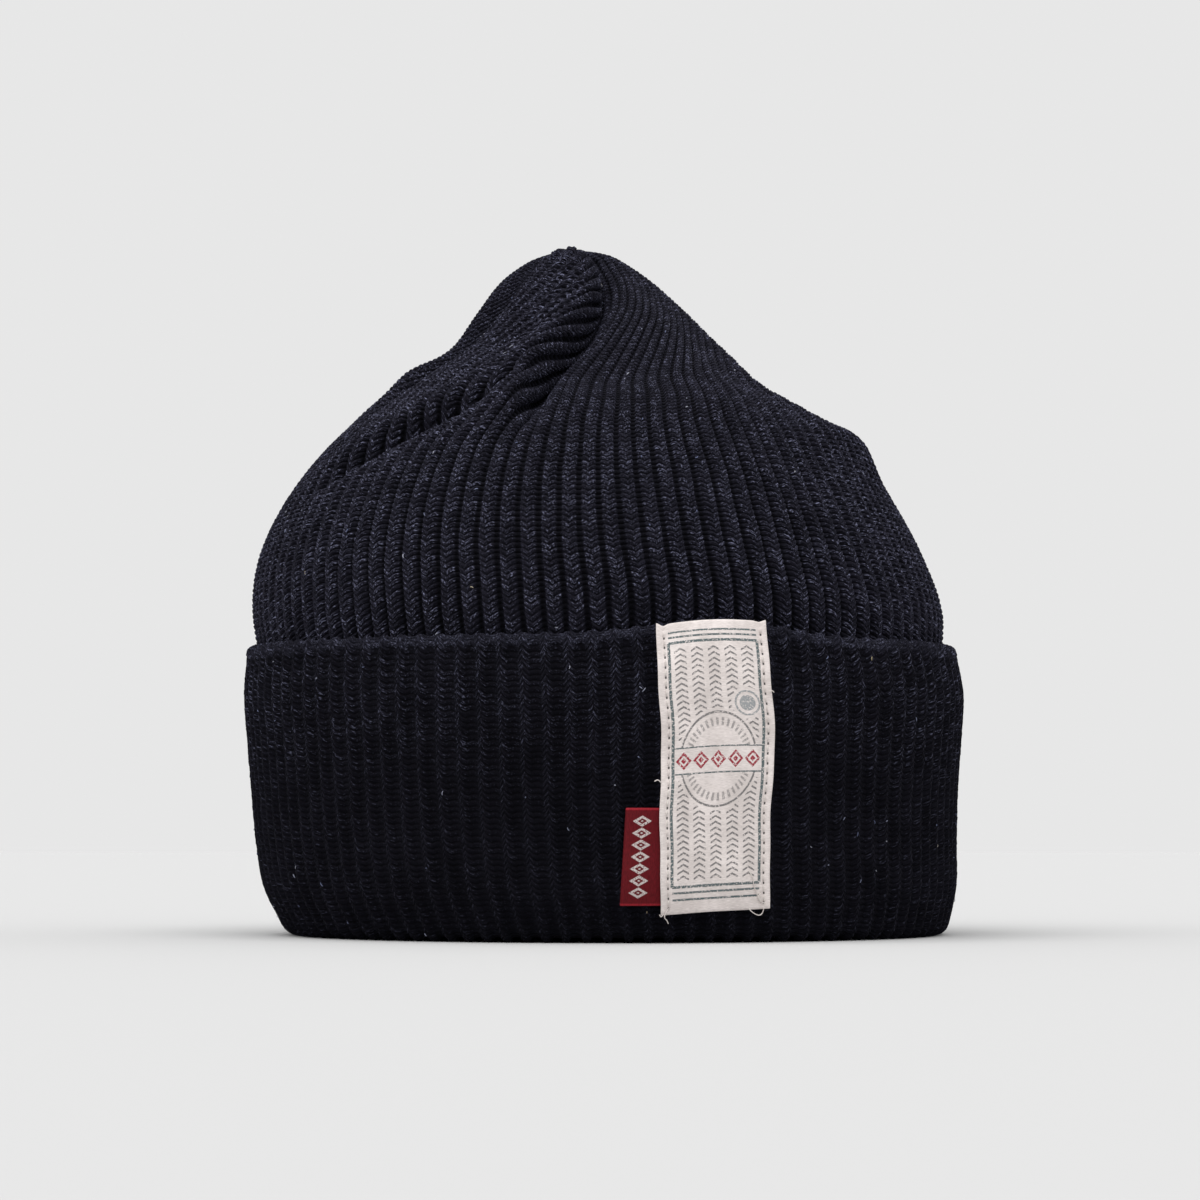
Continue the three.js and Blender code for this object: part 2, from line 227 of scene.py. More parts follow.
def crown_surface(angle, along):
    """A point of the crown between the cuff's edge, at 0, and the last section, at 1."""
    row = read_table(CROWN_SECTIONS, along)
    ahead = read_table(CROWN_SECTIONS, np.minimum(1, along + SLOPE_STEP))
    behind = read_table(CROWN_SECTIONS, np.maximum(0, along - SLOPE_STEP))
    rise = ahead[..., 0] - behind[..., 0]
    narrowing = (behind[..., 1] - ahead[..., 1] + behind[..., 2] - ahead[..., 2]) / 2
    slope = np.arctan2(narrowing, rise)
    radius = (row[..., 1] + row[..., 2]) / 2
    relief, turn = crown_relief(angle, along, radius)
    turned = angle + math.radians(SWIRL) * smoothstep(along, SWIRL_FROM, 1) + turn / radius
    outward = relief * np.cos(slope)
    x = row[..., 3] + (row[..., 1] + outward) * np.cos(turned)
    y = row[..., 4] + (row[..., 2] + outward) * np.sin(turned)
    z = row[..., 0] + edge_tilt(angle, along) + relief * np.sin(slope)
    return np.stack([x, y, z], axis=-1)


def inner_crown_surface(angle, along):
    """The inside of the crown clears the deepest crease, where the knit is bunched together."""
    row = read_table(CROWN_SECTIONS, along)
    depths = [dart[3] * smoothstep(along, dart[2], dart[2] + BUNCHED_AFTER)
              for dart in DARTS + FOLDS]
    inset = WALL + BUNCHED_SHARE * np.max(depths, axis=0)
    x = row[..., 3] + (row[..., 1] - inset) * np.cos(angle)
    y = row[..., 4] + (row[..., 2] - inset) * np.sin(angle)
    drop = inset * smoothstep(along, *INNER_DROP)
    return np.stack([x, y, row[..., 0] + edge_tilt(angle, along) - drop], axis=-1)


# Length of the crown's mean profile, by which courses are spaced
ALONG_STEPS = np.linspace(0, 1, 401)
MEAN_PROFILE = read_table(CROWN_SECTIONS, ALONG_STEPS)
MEAN_RADIUS = (MEAN_PROFILE[:, 1] + MEAN_PROFILE[:, 2]) / 2
PROFILE_LENGTHS = np.concatenate([[0.0], np.cumsum(np.hypot(
    np.diff(MEAN_RADIUS), np.diff(MEAN_PROFILE[:, 0])))])
BELOW_EDGE = CROWN_SECTIONS[0, 0] - BAND_TOP
TOP_SECTION = CROWN_SECTIONS[-1]
CAP_LENGTH = math.hypot(MEAN_RADIUS[-1], CROWN_TOP - TOP_SECTION[0])
CROWN_LENGTH = BELOW_EDGE + PROFILE_LENGTHS[-1] + CAP_LENGTH


def crown_at(angle, length):
    """A point of the crown at a length up its profile from the top of the inner band."""
    along = np.interp(length - BELOW_EDGE, PROFILE_LENGTHS, ALONG_STEPS)
    point = crown_surface(angle, along)
    below = np.clip(BELOW_EDGE - length, 0, None)
    band = cuff_point(angle, np.full_like(length, BAND_TOP), -WALL - CUFF_GAP)
    flare = below / BELOW_EDGE
    point[..., 2] -= below
    point[..., :2] += (band[..., :2] - point[..., :2]) * flare[..., None]
    point[..., 2] += (BAND_TOP - point[..., 2]) * flare ** 4
    beyond = np.clip((length - BELOW_EDGE - PROFILE_LENGTHS[-1]) / CAP_LENGTH, 0, 1)
    pole = np.array([TOP_SECTION[3], TOP_SECTION[4], CROWN_TOP])
    cap = point + (pole - point) * beyond[..., None]
    cap[..., 2] = point[..., 2] + (CROWN_TOP - point[..., 2]) * (2 * beyond - beyond ** 2)
    return np.where(beyond[..., None] > 0, cap, point), along


def smooth_minimum(a, b, softness):
    mix = np.clip(0.5 + 0.5 * (b - a) / softness, 0, 1)
    return b + (a - b) * mix - softness * mix * (1 - mix)


def gather_into_darts(angle, along):
    """Ribs keep their width as the crown narrows, so each gore's ribs run into its next dart."""
    ends = sorted(DARTS)
    result = np.array(angle, dtype=float)
    for index, dart in enumerate(ends):
        following = ends[(index + 1) % len(ends)]
        width = math.radians((following[0] - dart[0]) % 360)
        place = np.mod(angle - math.radians(dart[0]), TURN)
        inside = place < width
        share = np.clip(place / width, 0, 1)
        begin = np.radians(dart_angle(dart, along))
        reach = np.mod(np.radians(dart_angle(following, along)) - begin, TURN)
        grown = np.clip((along - following[2]) / (1 - following[2]), 0, 1)
        taken = TAKEN_UP_AT_TOP * grown ** TAKEN_UP_POWER + 1e-4
        softness = TAKEN_UP_SOFTNESS * np.clip(taken / TAKEN_UP_SOFT_FROM, 1e-3, 1)
        packed = smooth_minimum(share / (1 - taken), 1.0, softness)
        full = smooth_minimum(1 / (1 - taken), 1.0, softness)
        spread = (1 - TAKEN_UP_LEFT_SHOWING) * packed / full + TAKEN_UP_LEFT_SHOWING * share
        result = np.where(inside, begin + spread * reach, result)
    return result


# Seeds of the random unevenness, which is the same on every run
SEEDS = {"crown": 11, "cuff": 41, "lip": 43, "flecks": 5, "stitches": 71}


def lattice_noise(seed, columns, rows, at_column, at_row):
    """Smooth noise between -1 and 1 on a lattice that closes round its columns."""
    values = np.random.default_rng(seed).uniform(-1, 1, (rows + 2, columns))
    column = np.floor(at_column).astype(int)
    row = np.clip(np.floor(at_row).astype(int), 0, rows)
    x = smoothstep(at_column - column, 0, 1)
    y = smoothstep(at_row - row, 0, 1)
    near, far = (values[at, column % columns] * (1 - x) + values[at, (column + 1) % columns] * x
                 for at in (row, row + 1))
    return near * (1 - y) + far * y


def grid_normals(points):
    """Outward normals of a grid of rows that close round the hat."""
    around = np.roll(points, -1, axis=1) - np.roll(points, 1, axis=1)
    up = np.gradient(points, axis=0)
    normal = np.cross(around, up)
    return normal / np.maximum(np.linalg.norm(normal, axis=-1, keepdims=True), 1e-9)


def rib_width(points, ribs):
    """Length of one rib's width at each point of a grid."""
    around = np.linalg.norm(np.roll(points, -1, axis=1) - np.roll(points, 1, axis=1), axis=-1)
    step = np.mod(np.roll(ribs, -1) - np.roll(ribs, 1), RIBS)
    return around / step


def build_mesh(name, points, corners, starts, smooth):
    """A mesh of millimetre points, with each face's first corner and whether it is smooth."""
    mesh = bpy.data.meshes.new(name)
    mesh.vertices.add(len(points))
    mesh.vertices.foreach_set("co", (points * MM).ravel())
    mesh.loops.add(len(corners))
    mesh.loops.foreach_set("vertex_index", corners.astype(np.int32))
    mesh.polygons.add(len(starts))
    mesh.polygons.foreach_set("loop_start", starts.astype(np.int32))
    mesh.update(calc_edges=True)
    mesh.validate()
    mesh.polygons.foreach_set("use_smooth", np.broadcast_to(smooth, len(starts)))
    return mesh


def add_map(mesh, name, places):
    mesh.uv_layers.new(name=name).data.foreach_set("uv", places.ravel())


class Skin:
    """Closed skin made of rings of points, each with rib and course co-ordinates."""

    def __init__(self):
        self.points = []
        self.ribs = []
        self.courses = []
        self.normals = []
        self.rings = []
        self.quads = []
        self.triangles = []

    def ring(self, points, ribs, courses, normals=None):
        """Add a ring and return its number. Its normals are given where pieces meet."""
        first = sum(len(ring) for ring in self.points)
        self.points.append(np.asarray(points))
        self.ribs.append(np.asarray(ribs, dtype=float))
        self.courses.append(np.broadcast_to(courses, len(points)).astype(float))
        self.normals.append(np.zeros((len(points), 3)) if normals is None else normals)
        self.rings.append((first, len(points)))
        return len(self.rings) - 1

    def join(self, lower, upper, wall=False):
        """Faces between two rings of any number of points. A wall is flat and has no normals."""
        first, count = self.rings[lower]
        next_first, next_count = self.rings[upper]
        if count == next_count:
            i = np.arange(count)
            j = (i + 1) % count
            quads = np.stack([first + i, first + j, next_first + j, next_first + i], axis=1)
            wrap = np.stack([i * 0, j == 0, j == 0, i * 0], axis=1)
            self.quads.append((quads, wrap, wall))
            return
        i = j = 0
        faces = []
        wraps = []
        while i < count or j < next_count:
            a = first + i % count
            b = next_first + j % next_count
            if (i + 1) / count <= (j + 1) / next_count and i < count:
                faces.append((a, first + (i + 1) % count, b))
                wraps.append((i >= count, i + 1 >= count, j >= next_count))
                i += 1
            else:
                faces.append((a, next_first + (j + 1) % next_count, b))
                wraps.append((i >= count, j + 1 >= next_count, j >= next_count))
                j += 1
        self.triangles.append((np.array(faces), np.array(wraps), wall))

    def join_all(self, *runs):
        for rings in runs:
            for lower, upper in zip(rings, rings[1:]):
                self.join(lower, upper)

    def cap(self, ring, pole, flip):
        """Faces from a ring to a single point."""
        first, count = self.rings[ring]
        tip = self.rings[pole][0]
        i = np.arange(count)
        j = (i + 1) % count
        order = [first + j, first + i] if flip else [first + i, first + j]
        wraps = [j == 0, i * 0] if flip else [i * 0, j == 0]
        faces = np.stack([*order, np.full(count, tip)], axis=1)
        self.triangles.append((faces, np.stack([*wraps, i * 0], axis=1), False))

    def mesh(self, name):
        """The Blender mesh, with the knit's own co-ordinates and an unwrapped map."""
        points = np.concatenate(self.points)
        ribs = np.concatenate(self.ribs)
        courses = np.concatenate(self.courses)
        normals = np.concatenate(self.normals)
        groups = self.quads + self.triangles
        corners = np.concatenate([faces.ravel() for faces, _, _ in groups])
        wraps = np.concatenate([wrap.ravel() for _, wrap, _ in groups])
        sizes = np.concatenate([np.full(len(faces), faces.shape[1]) for faces, _, _ in groups])
        walls = np.concatenate([np.full(len(faces), wall) for faces, _, wall in groups])
        starts = np.concatenate([[0], np.cumsum(sizes)[:-1]])
        mesh = build_mesh(name, points, corners, starts, ~walls)
        u = ribs[corners] + RIBS * wraps
        add_map(mesh, "knit", np.stack([u, courses[corners]], axis=1))
        order = np.repeat(np.arange(len(self.points)), [len(ring) for ring in self.points])
        spread = order / max(order)
        low = ribs.min() - 1
        add_map(mesh, "OFBake", np.stack([(u - low) / (2 + RIBS), spread[corners]], axis=1))
        given = normals[corners]
        given[np.repeat(walls, sizes)] = 0
        mesh.normals_split_custom_set(given)
        return mesh


def place_in_scene(name, data):
    item = bpy.data.objects.new(name, data)
    bpy.context.scene.collection.objects.link(item)
    return item


def add_piece(mesh, node, material):
    """A piece of the scene, named as its mesh, that rides on the body and replaces a CAD node."""
    piece = place_in_scene(mesh.name, mesh)
    mesh.materials.append(material)
    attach(piece, "root")
    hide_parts(node)
    return piece


# Stitches. Each table is a rib's cross-section on one side of its middle: distance from the
# middle in ribs, height of the knit in mm, height of the yarn's own ridge in mm, and how far a
# stitch's leg has climbed in courses. The right side has straight Vs, and the wrong side has a
# steep chain with bars that bow between the chains.
RIGHT_SIDE = np.array([
    (0.0, -0.22, 0.14, 0.0),
    (0.15, 0.0, 0.26, 0.4),
    (0.3, -0.5, 0.24, 0.86),
    (0.4, -2.1, 0.06, 1.24),
])
WRONG_SIDE = np.array([
    (0.0, -0.08, 0.14, 0.0),
    (0.12, -0.2, 0.24, -0.75),
    (0.24, -1.4, 0.1, -1.15),
    (0.41, -1.6, 0.2, -0.95),
])


def mirrored(table):
    """A table of one side of a rib, mirrored into the whole rib from left to right."""
    left = table[:0:-1].copy()
    left[:, 0] *= -1
    return np.concatenate([left, table])


def stitch_columns(table, shift):
    places = mirrored(table)[:, 0]
    return (np.arange(RIBS)[:, None] + shift + places[None, :]).ravel()


# Unevenness of the stitches: how far the grooves drift in ribs and over what length, how far a
# stitch slips in courses, and how loose the yarn lies in mm
WANDER = 0.05
WANDER_RUN = 9.0
WANDER_ROWS = 40
SLIP = 0.1
SLIPS_PER_RIB = 2
LOOSENESS = 0.045
NOISE_ROWS = 300
YARN_ROUNDNESS = 0.8
# Size of a stitch against the usual one, where the knit is gathered or stretched
STITCH_SIZES = (0.02, 1.15)
# How far a stitch may reach below the first row, in mm
REACH_BELOW = 4


def rib_noise(seed, parts, ribs, length):
    """Smooth noise with a value for each part of a rib and each course."""
    around = RIBS * parts
    return lattice_noise(seed, around, NOISE_ROWS, np.mod(ribs * parts, around), length / COURSE)


def stitched_grid(place, table, shift, rows, seed, fade, lip=None):
    """Points of a stitched grid, with their ribs and courses. place gives the points for arrays of
    ribs and lengths, and rows are lengths along the knit. fade is the share of the relief that
    goes, and the lengths between which it does. lip is added to the relief."""
    section = np.tile(mirrored(table), (RIBS, 1))
    columns = stitch_columns(table, shift)
    length, ribs = np.meshgrid(rows, columns, indexing="ij")
    drift = lattice_noise(seed, RIBS, WANDER_ROWS, np.mod(ribs, RIBS), length / WANDER_RUN)
    drifted = ribs + WANDER * drift
    scale = np.clip(rib_width(place(drifted, length), columns) / RIB_PITCH, *STITCH_SIZES)
    slip = SLIP * rib_noise(seed + 2, SLIPS_PER_RIB, ribs, length)
    shifted = length + (section[:, 3] * scale + slip) * COURSE
    surface = place(drifted, np.clip(shifted, rows[0] - REACH_BELOW, None))
    normals = grid_normals(surface)
    # A round yarn across each course, with a crevice at each whole number
    phase = np.abs(np.sin(np.pi * (length / COURSE))) ** YARN_ROUNDNESS
    smaller = np.minimum(1, scale)
    loose = np.random.default_rng(seed + 1).normal(0, LOOSENESS, length.shape)
    relief = section[:, 1] * smaller + section[:, 2] * smaller * (2 * phase - 1)
    relief = (relief + loose * smaller) * (1 - fade[0] * smoothstep(length, *fade[1:]))
    if lip is not None:
        relief = relief + lip(length, ribs)
    return surface + normals * relief[..., None], ribs, length / COURSE


def angle_of(ribs):
    return ribs / RIBS * TURN - np.pi / 2


def crown_place(ribs, length):
    angle = angle_of(ribs)
    along = np.interp(length - BELOW_EDGE, PROFILE_LENGTHS, ALONG_STEPS)
    point, _ = crown_at(gather_into_darts(angle, along), length)
    return point


# The inside of crown and band: half of a rib's cross-section, and how far in it lies
INSIDE_SIDE = np.array([(0.0, 0.0), (0.3, 1.0)])
INSIDE_RIBS = stitch_columns(INSIDE_SIDE, 0.5)
INSIDE_ANGLES = angle_of(INSIDE_RIBS)
INSIDE_RELIEF = np.tile(mirrored(INSIDE_SIDE)[:, 1], RIBS)
INSIDE_STEP = 2 * COURSE
INSIDE_INSET = 0.6
INSIDE_INSET_FULL = 0.1
BAND_INSET = 2 * WALL + CUFF_GAP


def level_ring(height, inset):
    """Points of a plain ring at one height of the cuff, set in from its crests."""
    return cuff_point(INSIDE_ANGLES, np.full_like(INSIDE_ANGLES, height), -inset)


def inner_crown_ring(along):
    ring = inner_crown_surface(INSIDE_ANGLES, np.full_like(INSIDE_ANGLES, along))
    outward = ring[:, :2] - TOP_SECTION[3:5]
    outward /= np.linalg.norm(outward, axis=1, keepdims=True)
    inset = INSIDE_INSET * smoothstep(along, 0, INSIDE_INSET_FULL)
    ring[:, :2] += outward * (INSIDE_RELIEF - inset)[:, None]
    return ring


CROWN_PIECES = ("knit_crown", "knit_crown_middle", "knit_crown_top")
CROWN_CUTS = (0.34, 0.67)
INNER_CROWN_STEP = 0.02
INNER_CROWN_END = 0.84
# Length left open round the tip, the tip's drop, and how the relief fades towards it
CROWN_END = 1.0
TIP_DROP = 0.6
CROWN_FADE = (0.9, CROWN_LENGTH - 9, CROWN_LENGTH)
# Course numbers of the inside, which only place the yarn's pattern there
INNER_COURSES = {"top": 20.0, "foot": 102.0, "edge": 100, "climb": 90, "gap": 70}


def make_crown(material):
    rows = np.arange(0, CROWN_LENGTH - CROWN_END, COURSE / ROWS_PER_COURSE)
    points, ribs, courses = stitched_grid(crown_place, RIGHT_SIDE, 0.0, rows, SEEDS["crown"],
                                          CROWN_FADE)
    points[0, :, 2] = BAND_TOP
    normals = grid_normals(points)
    cuts = [0, *(round(share * len(rows)) for share in CROWN_CUTS), len(rows) - 1]
    alongs = np.interp(rows[cuts] - BELOW_EDGE, PROFILE_LENGTHS, ALONG_STEPS)
    alongs[-1] = INNER_CROWN_END
    for index, name in enumerate(CROWN_PIECES):
        low, high = cuts[index], cuts[index + 1]
        skin = Skin()
        outer = [skin.ring(points[j], ribs[j], courses[j], normals[j] if j in cuts else None)
                 for j in range(low, high + 1)]
        steps = round((alongs[index + 1] - alongs[index]) / INNER_CROWN_STEP)
        inside = [skin.ring(inner_crown_ring(along), INSIDE_RIBS,
                            INNER_COURSES["edge"] - along * INNER_COURSES["climb"])
                  for along in np.linspace(alongs[index + 1], alongs[index], steps)]
        skin.join_all(outer, inside)
        if index == len(CROWN_PIECES) - 1:
            middle = [*points[-1, :, :2].mean(axis=0), CROWN_TOP - TIP_DROP]
            tip = skin.ring([middle], [RIBS / 2], courses[-1].mean() + 1)
            skin.cap(outer[-1], tip, flip=False)
            pole = skin.ring([[*TOP_SECTION[3:5], INNER_TOP]], [RIBS / 2], INNER_COURSES["top"])
            skin.cap(inside[0], pole, flip=True)
        else:
            skin.join(outer[-1], inside[0], wall=True)
        if index == 0:
            foot = level_ring(BAND_TOP, BAND_INSET)
            inside.append(skin.ring(foot, INSIDE_RIBS, INNER_COURSES["foot"]))
            skin.join(inside[-2], inside[-1])
        skin.join(inside[-1], outer[0], wall=True)
        add_piece(skin.mesh(name), "knit_cap", material)


# Profile of the cuff, from the inner band round the rim, up the cuff and over its edge
RIM_LENGTH = RIM_RADIUS * np.pi / 2
CUFF_MEAN_HEIGHT = (CUFF_HEIGHT_FRONT + CUFF_HEIGHT_BACK) / 2
CUFF_FACE_LENGTH = CUFF_MEAN_HEIGHT - RIM_RADIUS - EDGE_RADIUS
EDGE_START = RIM_LENGTH + CUFF_FACE_LENGTH
EDGE_LENGTH = EDGE_RADIUS * np.pi
CUFF_CUT = 40.0
CUFF_GAP_MIDDLE = 30
# How far below the front's edge the upper piece's back begins
CUFF_BACK_DROP = 8
# Where the relief fades, and the edge's rolled lip, which swells in the troughs and knots
CUFF_FADE = (0.75, EDGE_START + 1, EDGE_START + EDGE_LENGTH)
LIP = {"all": 0.1, "trough": 0.8, "knot": 0.3, "past_edge": 0.9, "reach": 1.1}
LIP_KNOTS_PER_RIB = 5


def cuff_profile(angle, length):
    """Inset and height at a length round the cuff's profile, which is 0 where it stands."""
    top = cuff_height(angle)
    rim = np.clip(length / RIM_RADIUS, -np.pi / 2, np.pi / 2)
    inset = RIM_RADIUS * (1 - np.sin(rim))
    height = RIM_RADIUS * (1 - np.cos(rim))
    climb = (top - RIM_RADIUS - EDGE_RADIUS) / CUFF_FACE_LENGTH
    height = height + np.clip(length - RIM_LENGTH, 0, CUFF_FACE_LENGTH) * climb
    height = height + np.clip(-RIM_LENGTH - length, 0, None)
    edge = np.clip((length - EDGE_START) / EDGE_RADIUS, 0, np.pi)
    inset = inset + EDGE_RADIUS * (1 - np.cos(edge))
    height = height + EDGE_RADIUS * np.sin(edge)
    height = height - np.clip(length - EDGE_START - EDGE_LENGTH, 0, None)
    return inset, height


def cuff_place(ribs, length):
    angle = angle_of(ribs)
    inset, height = cuff_profile(angle, length)
    return cuff_point(angle, height, -inset)


def cuff_lip(length, ribs):
    trough = LIP["trough"] * (0.5 + 0.5 * np.cos(TURN * ribs))
    knots = LIP["knot"] * rib_noise(SEEDS["lip"], LIP_KNOTS_PER_RIB, ribs, length)
    near_edge = bell(length, EDGE_START + LIP["past_edge"], LIP["reach"])
    return (LIP["all"] + trough + knots) * near_edge


def make_cuff(material):
    rows = np.arange(-RIM_LENGTH, EDGE_START + EDGE_LENGTH, COURSE / ROWS_PER_COURSE)
    points, ribs, courses = stitched_grid(cuff_place, WRONG_SIDE, 0.5, rows, SEEDS["cuff"],
                                          CUFF_FADE, cuff_lip)
    normals = grid_normals(points)
    cut = int(np.searchsorted(rows, CUFF_CUT))
    cut_height = float(points[cut, :, 2].mean())

    def stitched_rings(skin, first, end):
        return [skin.ring(points[j], ribs[j], courses[j], normals[j] if j == cut else None)
                for j in range(first, end)]

    def plain_ring(skin, height, inset):
        return skin.ring(level_ring(height, inset), INSIDE_RIBS, INNER_COURSES["gap"] + inset)

    lower = Skin()
    face = stitched_rings(lower, 0, cut + 1)
    gap = [plain_ring(lower, height, WALL) for height in (cut_height, CUFF_GAP_FLOOR)]
    gap += [plain_ring(lower, height, WALL + CUFF_GAP)
            for height in (CUFF_GAP_FLOOR, CUFF_GAP_MIDDLE, BAND_TOP)]
    band = [lower.ring(level_ring(height, BAND_INSET - INSIDE_RELIEF * (height < BAND_TOP)),
                       INSIDE_RIBS, -height / COURSE)
            for height in np.arange(BAND_TOP, RIM_RADIUS + 1, -INSIDE_STEP)]
    lower.join_all(face, gap, band)
    lower.join(face[-1], gap[0], wall=True)
    lower.join(gap[-1], band[0], wall=True)
    lower.join(band[-1], face[0])
    add_piece(lower.mesh("knit_cuff"), "knit_cap", material)

    upper = Skin()
    face = stitched_rings(upper, cut, len(rows))
    gap = [plain_ring(upper, height, WALL)
           for height in (CUFF_HEIGHT_FRONT - CUFF_BACK_DROP, cut_height)]
    upper.join_all(face, gap)
    upper.join(face[-1], gap[0])
    upper.join(gap[-1], face[0], wall=True)
    add_piece(upper.mesh("knit_cuff_top"), "knit_cap", material)


# Flecks: short pale fibres that are caught in the yarn, over the whole outside
CROWN_FLECKS = 190
CUFF_FLECKS = 110
FLECK_STEPS = 6
FLECK_SIDES = 5
# Ranges in mm of where they lie along the crown and the cuff, of their sizes and of their radii
CROWN_FLECK_LENGTHS = (4, 140)
CUFF_FLECK_LENGTHS = (2, EDGE_START)
FLECK_SIZES = (0.5, 1.7)
FLECK_RADII = (0.07, 0.13)
# How far off a rib's crest they lie in ribs, how much they curl, and how they stand off the yarn
FLECK_OFF_CREST = 0.2
FLECK_CURL = 1.1
FLECK_LIFT = {"middle": 0.16, "dive": 0.5, "uneven": 0.1}
# Small steps along the knit by which its normal is found, in ribs and in mm
NEXT_RIB = 0.02
NEXT_UP = 0.1


def make_flecks(material):
    random = np.random.default_rng(SEEDS["flecks"])
    strands = []
    spots = [(crown_place, random.uniform(*CROWN_FLECK_LENGTHS)) for _ in range(CROWN_FLECKS)]
    spots += [(cuff_place, random.uniform(*CUFF_FLECK_LENGTHS)) for _ in range(CUFF_FLECKS)]
    for place, length in spots:
        crest = 0.0 if place is crown_place else 0.5
        rib = random.integers(RIBS) + crest + random.uniform(-FLECK_OFF_CREST, FLECK_OFF_CREST)
        size = random.uniform(*FLECK_SIZES)
        heading = random.uniform(0, TURN)
        curl = random.normal(0, FLECK_CURL)
        t = np.linspace(-0.5, 0.5, FLECK_STEPS)
        turned = heading + curl * t
        sideways = np.cumsum(np.cos(turned)) * size / FLECK_STEPS
        upward = np.cumsum(np.sin(turned)) * size / FLECK_STEPS
        ribs = rib + sideways / RIB_PITCH
        lengths = length + upward
        path = place(ribs, lengths)
        right = place(ribs + NEXT_RIB, lengths) - path
        above = place(ribs, lengths + NEXT_UP) - path
        normal = np.cross(right, above)
        normal /= np.linalg.norm(normal, axis=1, keepdims=True)
        lift = FLECK_LIFT["middle"] - FLECK_LIFT["dive"] * np.abs(t) ** 2
        lift = lift + FLECK_LIFT["uneven"] * random.normal()
        path = path + normal * lift[:, None]
        strands.append(tube(path, random.uniform(*FLECK_RADII), FLECK_SIDES))
    add_piece(strands_mesh("knit_flecks", strands), "knit_cap", material)


# Sewn pieces
LABEL_WIDTH = LABEL["right"] - LABEL["left"]
LABEL_LENGTH = LABEL["top"] - LABEL["bottom"]
LABEL_THICKNESS = 0.5
LABEL_STEP = 0.42
STITCH_INSET = 1.75
RIGHT_STITCH_SHIFT = 0.15
STITCH_STEP = 2.35
STITCH_LENGTH = 1.65
STITCH_START = 1.5
STITCH_POINTS = 8
STITCH_RADIUS = 0.17
THREAD_END_RADIUS = 0.13
KNIT_PITCH_AT_FRONT = 5.97
TAB_LENGTH = TAB["top"] - TAB["bottom"]
TAB_DEPTH = TAB["right"] - TAB["left"]
TAB_STEP = 0.35
TAB_OUT = 0.42
TAB_WAVE = {"height": 0.12, "run": 3.6, "free_share": 0.75}
RIBBON_THICKNESS = 0.34
RIBBON_SPACING = 0.46
SHEET_EDGE = (0.0, 0.1, 0.28)

# Rise and fall along the label's top end: across, reach, rise
LABEL_EARS = (
    (0.0, 0.8, 0.55),
    (STITCH_INSET, 0.7, -0.4),
    (LABEL_WIDTH, 0.9, 0.35),
    (LABEL_WIDTH - 1.8, 0.8, -0.25),
)
LABEL_TOP = {"reach": 3.0, "drop": 0.3, "bow": 0.9}
LABEL_FOOT = {"reach": 2.2, "sag": 0.15, "sag_at": LABEL_WIDTH * 0.45, "sag_reach": 7.0}
# How far the foot stands off the knit: everywhere, and more towards each corner with its reach
FOOT_LIFT = {"all": 0.25, "right": 0.55, "right_reach": 3.5, "left": 0.3, "left_reach": 2.5}
# The label's sway to the right: at its left side, more at its right, and where it is greatest
LABEL_SWAY = {"left": 0.8, "more_right": 1.1, "at": 0.62, "reach": 0.3}
# Ripples of the label's sides: height, run, phase
SIDE_RIPPLES = ((0.12, 5.1, 0.0), (0.08, 2.3, 1.0))
# Relief of the label's cloth between, along and outside its stitches, and over the ribs
PILLOW = {"height": 0.3, "full_at": 6.0}
STITCH_PULL = {"depth": 0.32, "reach": 0.55, "even": 0.6, "dotted": 0.4}
FREE_EDGE_LIFT = 0.16
RIB_SHOW = {"height": 0.12, "shift": 0.6, "from": 1, "full_at": 4}
SLANT_WAVE = {"height": 0.1, "up_run": 7.0, "across_run": 6.0}
# How the label's top end bends in over the cuff's edge
BEND_IN = {"from": 3.0, "over": 6.0, "most": 1.2, "depth": 0.9}


def front_point(x, height, out):
    """A point in front of the cuff, at a distance to the right, a height and a distance out."""
    facing = -np.arccos(x / CUFF_SECTIONS[0, 0])
    row = read_table(CUFF_SECTIONS, np.clip(height / cuff_height(facing), 0, 1))
    angle = -np.arccos((x - row[..., 2]) / (row[..., 0] + out))
    point = cuff_point(angle, np.minimum(height, cuff_height(angle)), out)
    point[..., 2] = height
    return point


def label_rise(x, height):
    """How far the label rises over the tab."""
    across = 1 - smoothstep(x - LABEL["left"], LABEL_RISE["full_to"], LABEL_RISE["gone_by"])
    up = 1 - smoothstep(height - TAB["top"], LABEL_RISE["full_above"], LABEL_RISE["gone_above"])
    return (TAB["thickness"] + TAB_COVER_GAP) * across * up


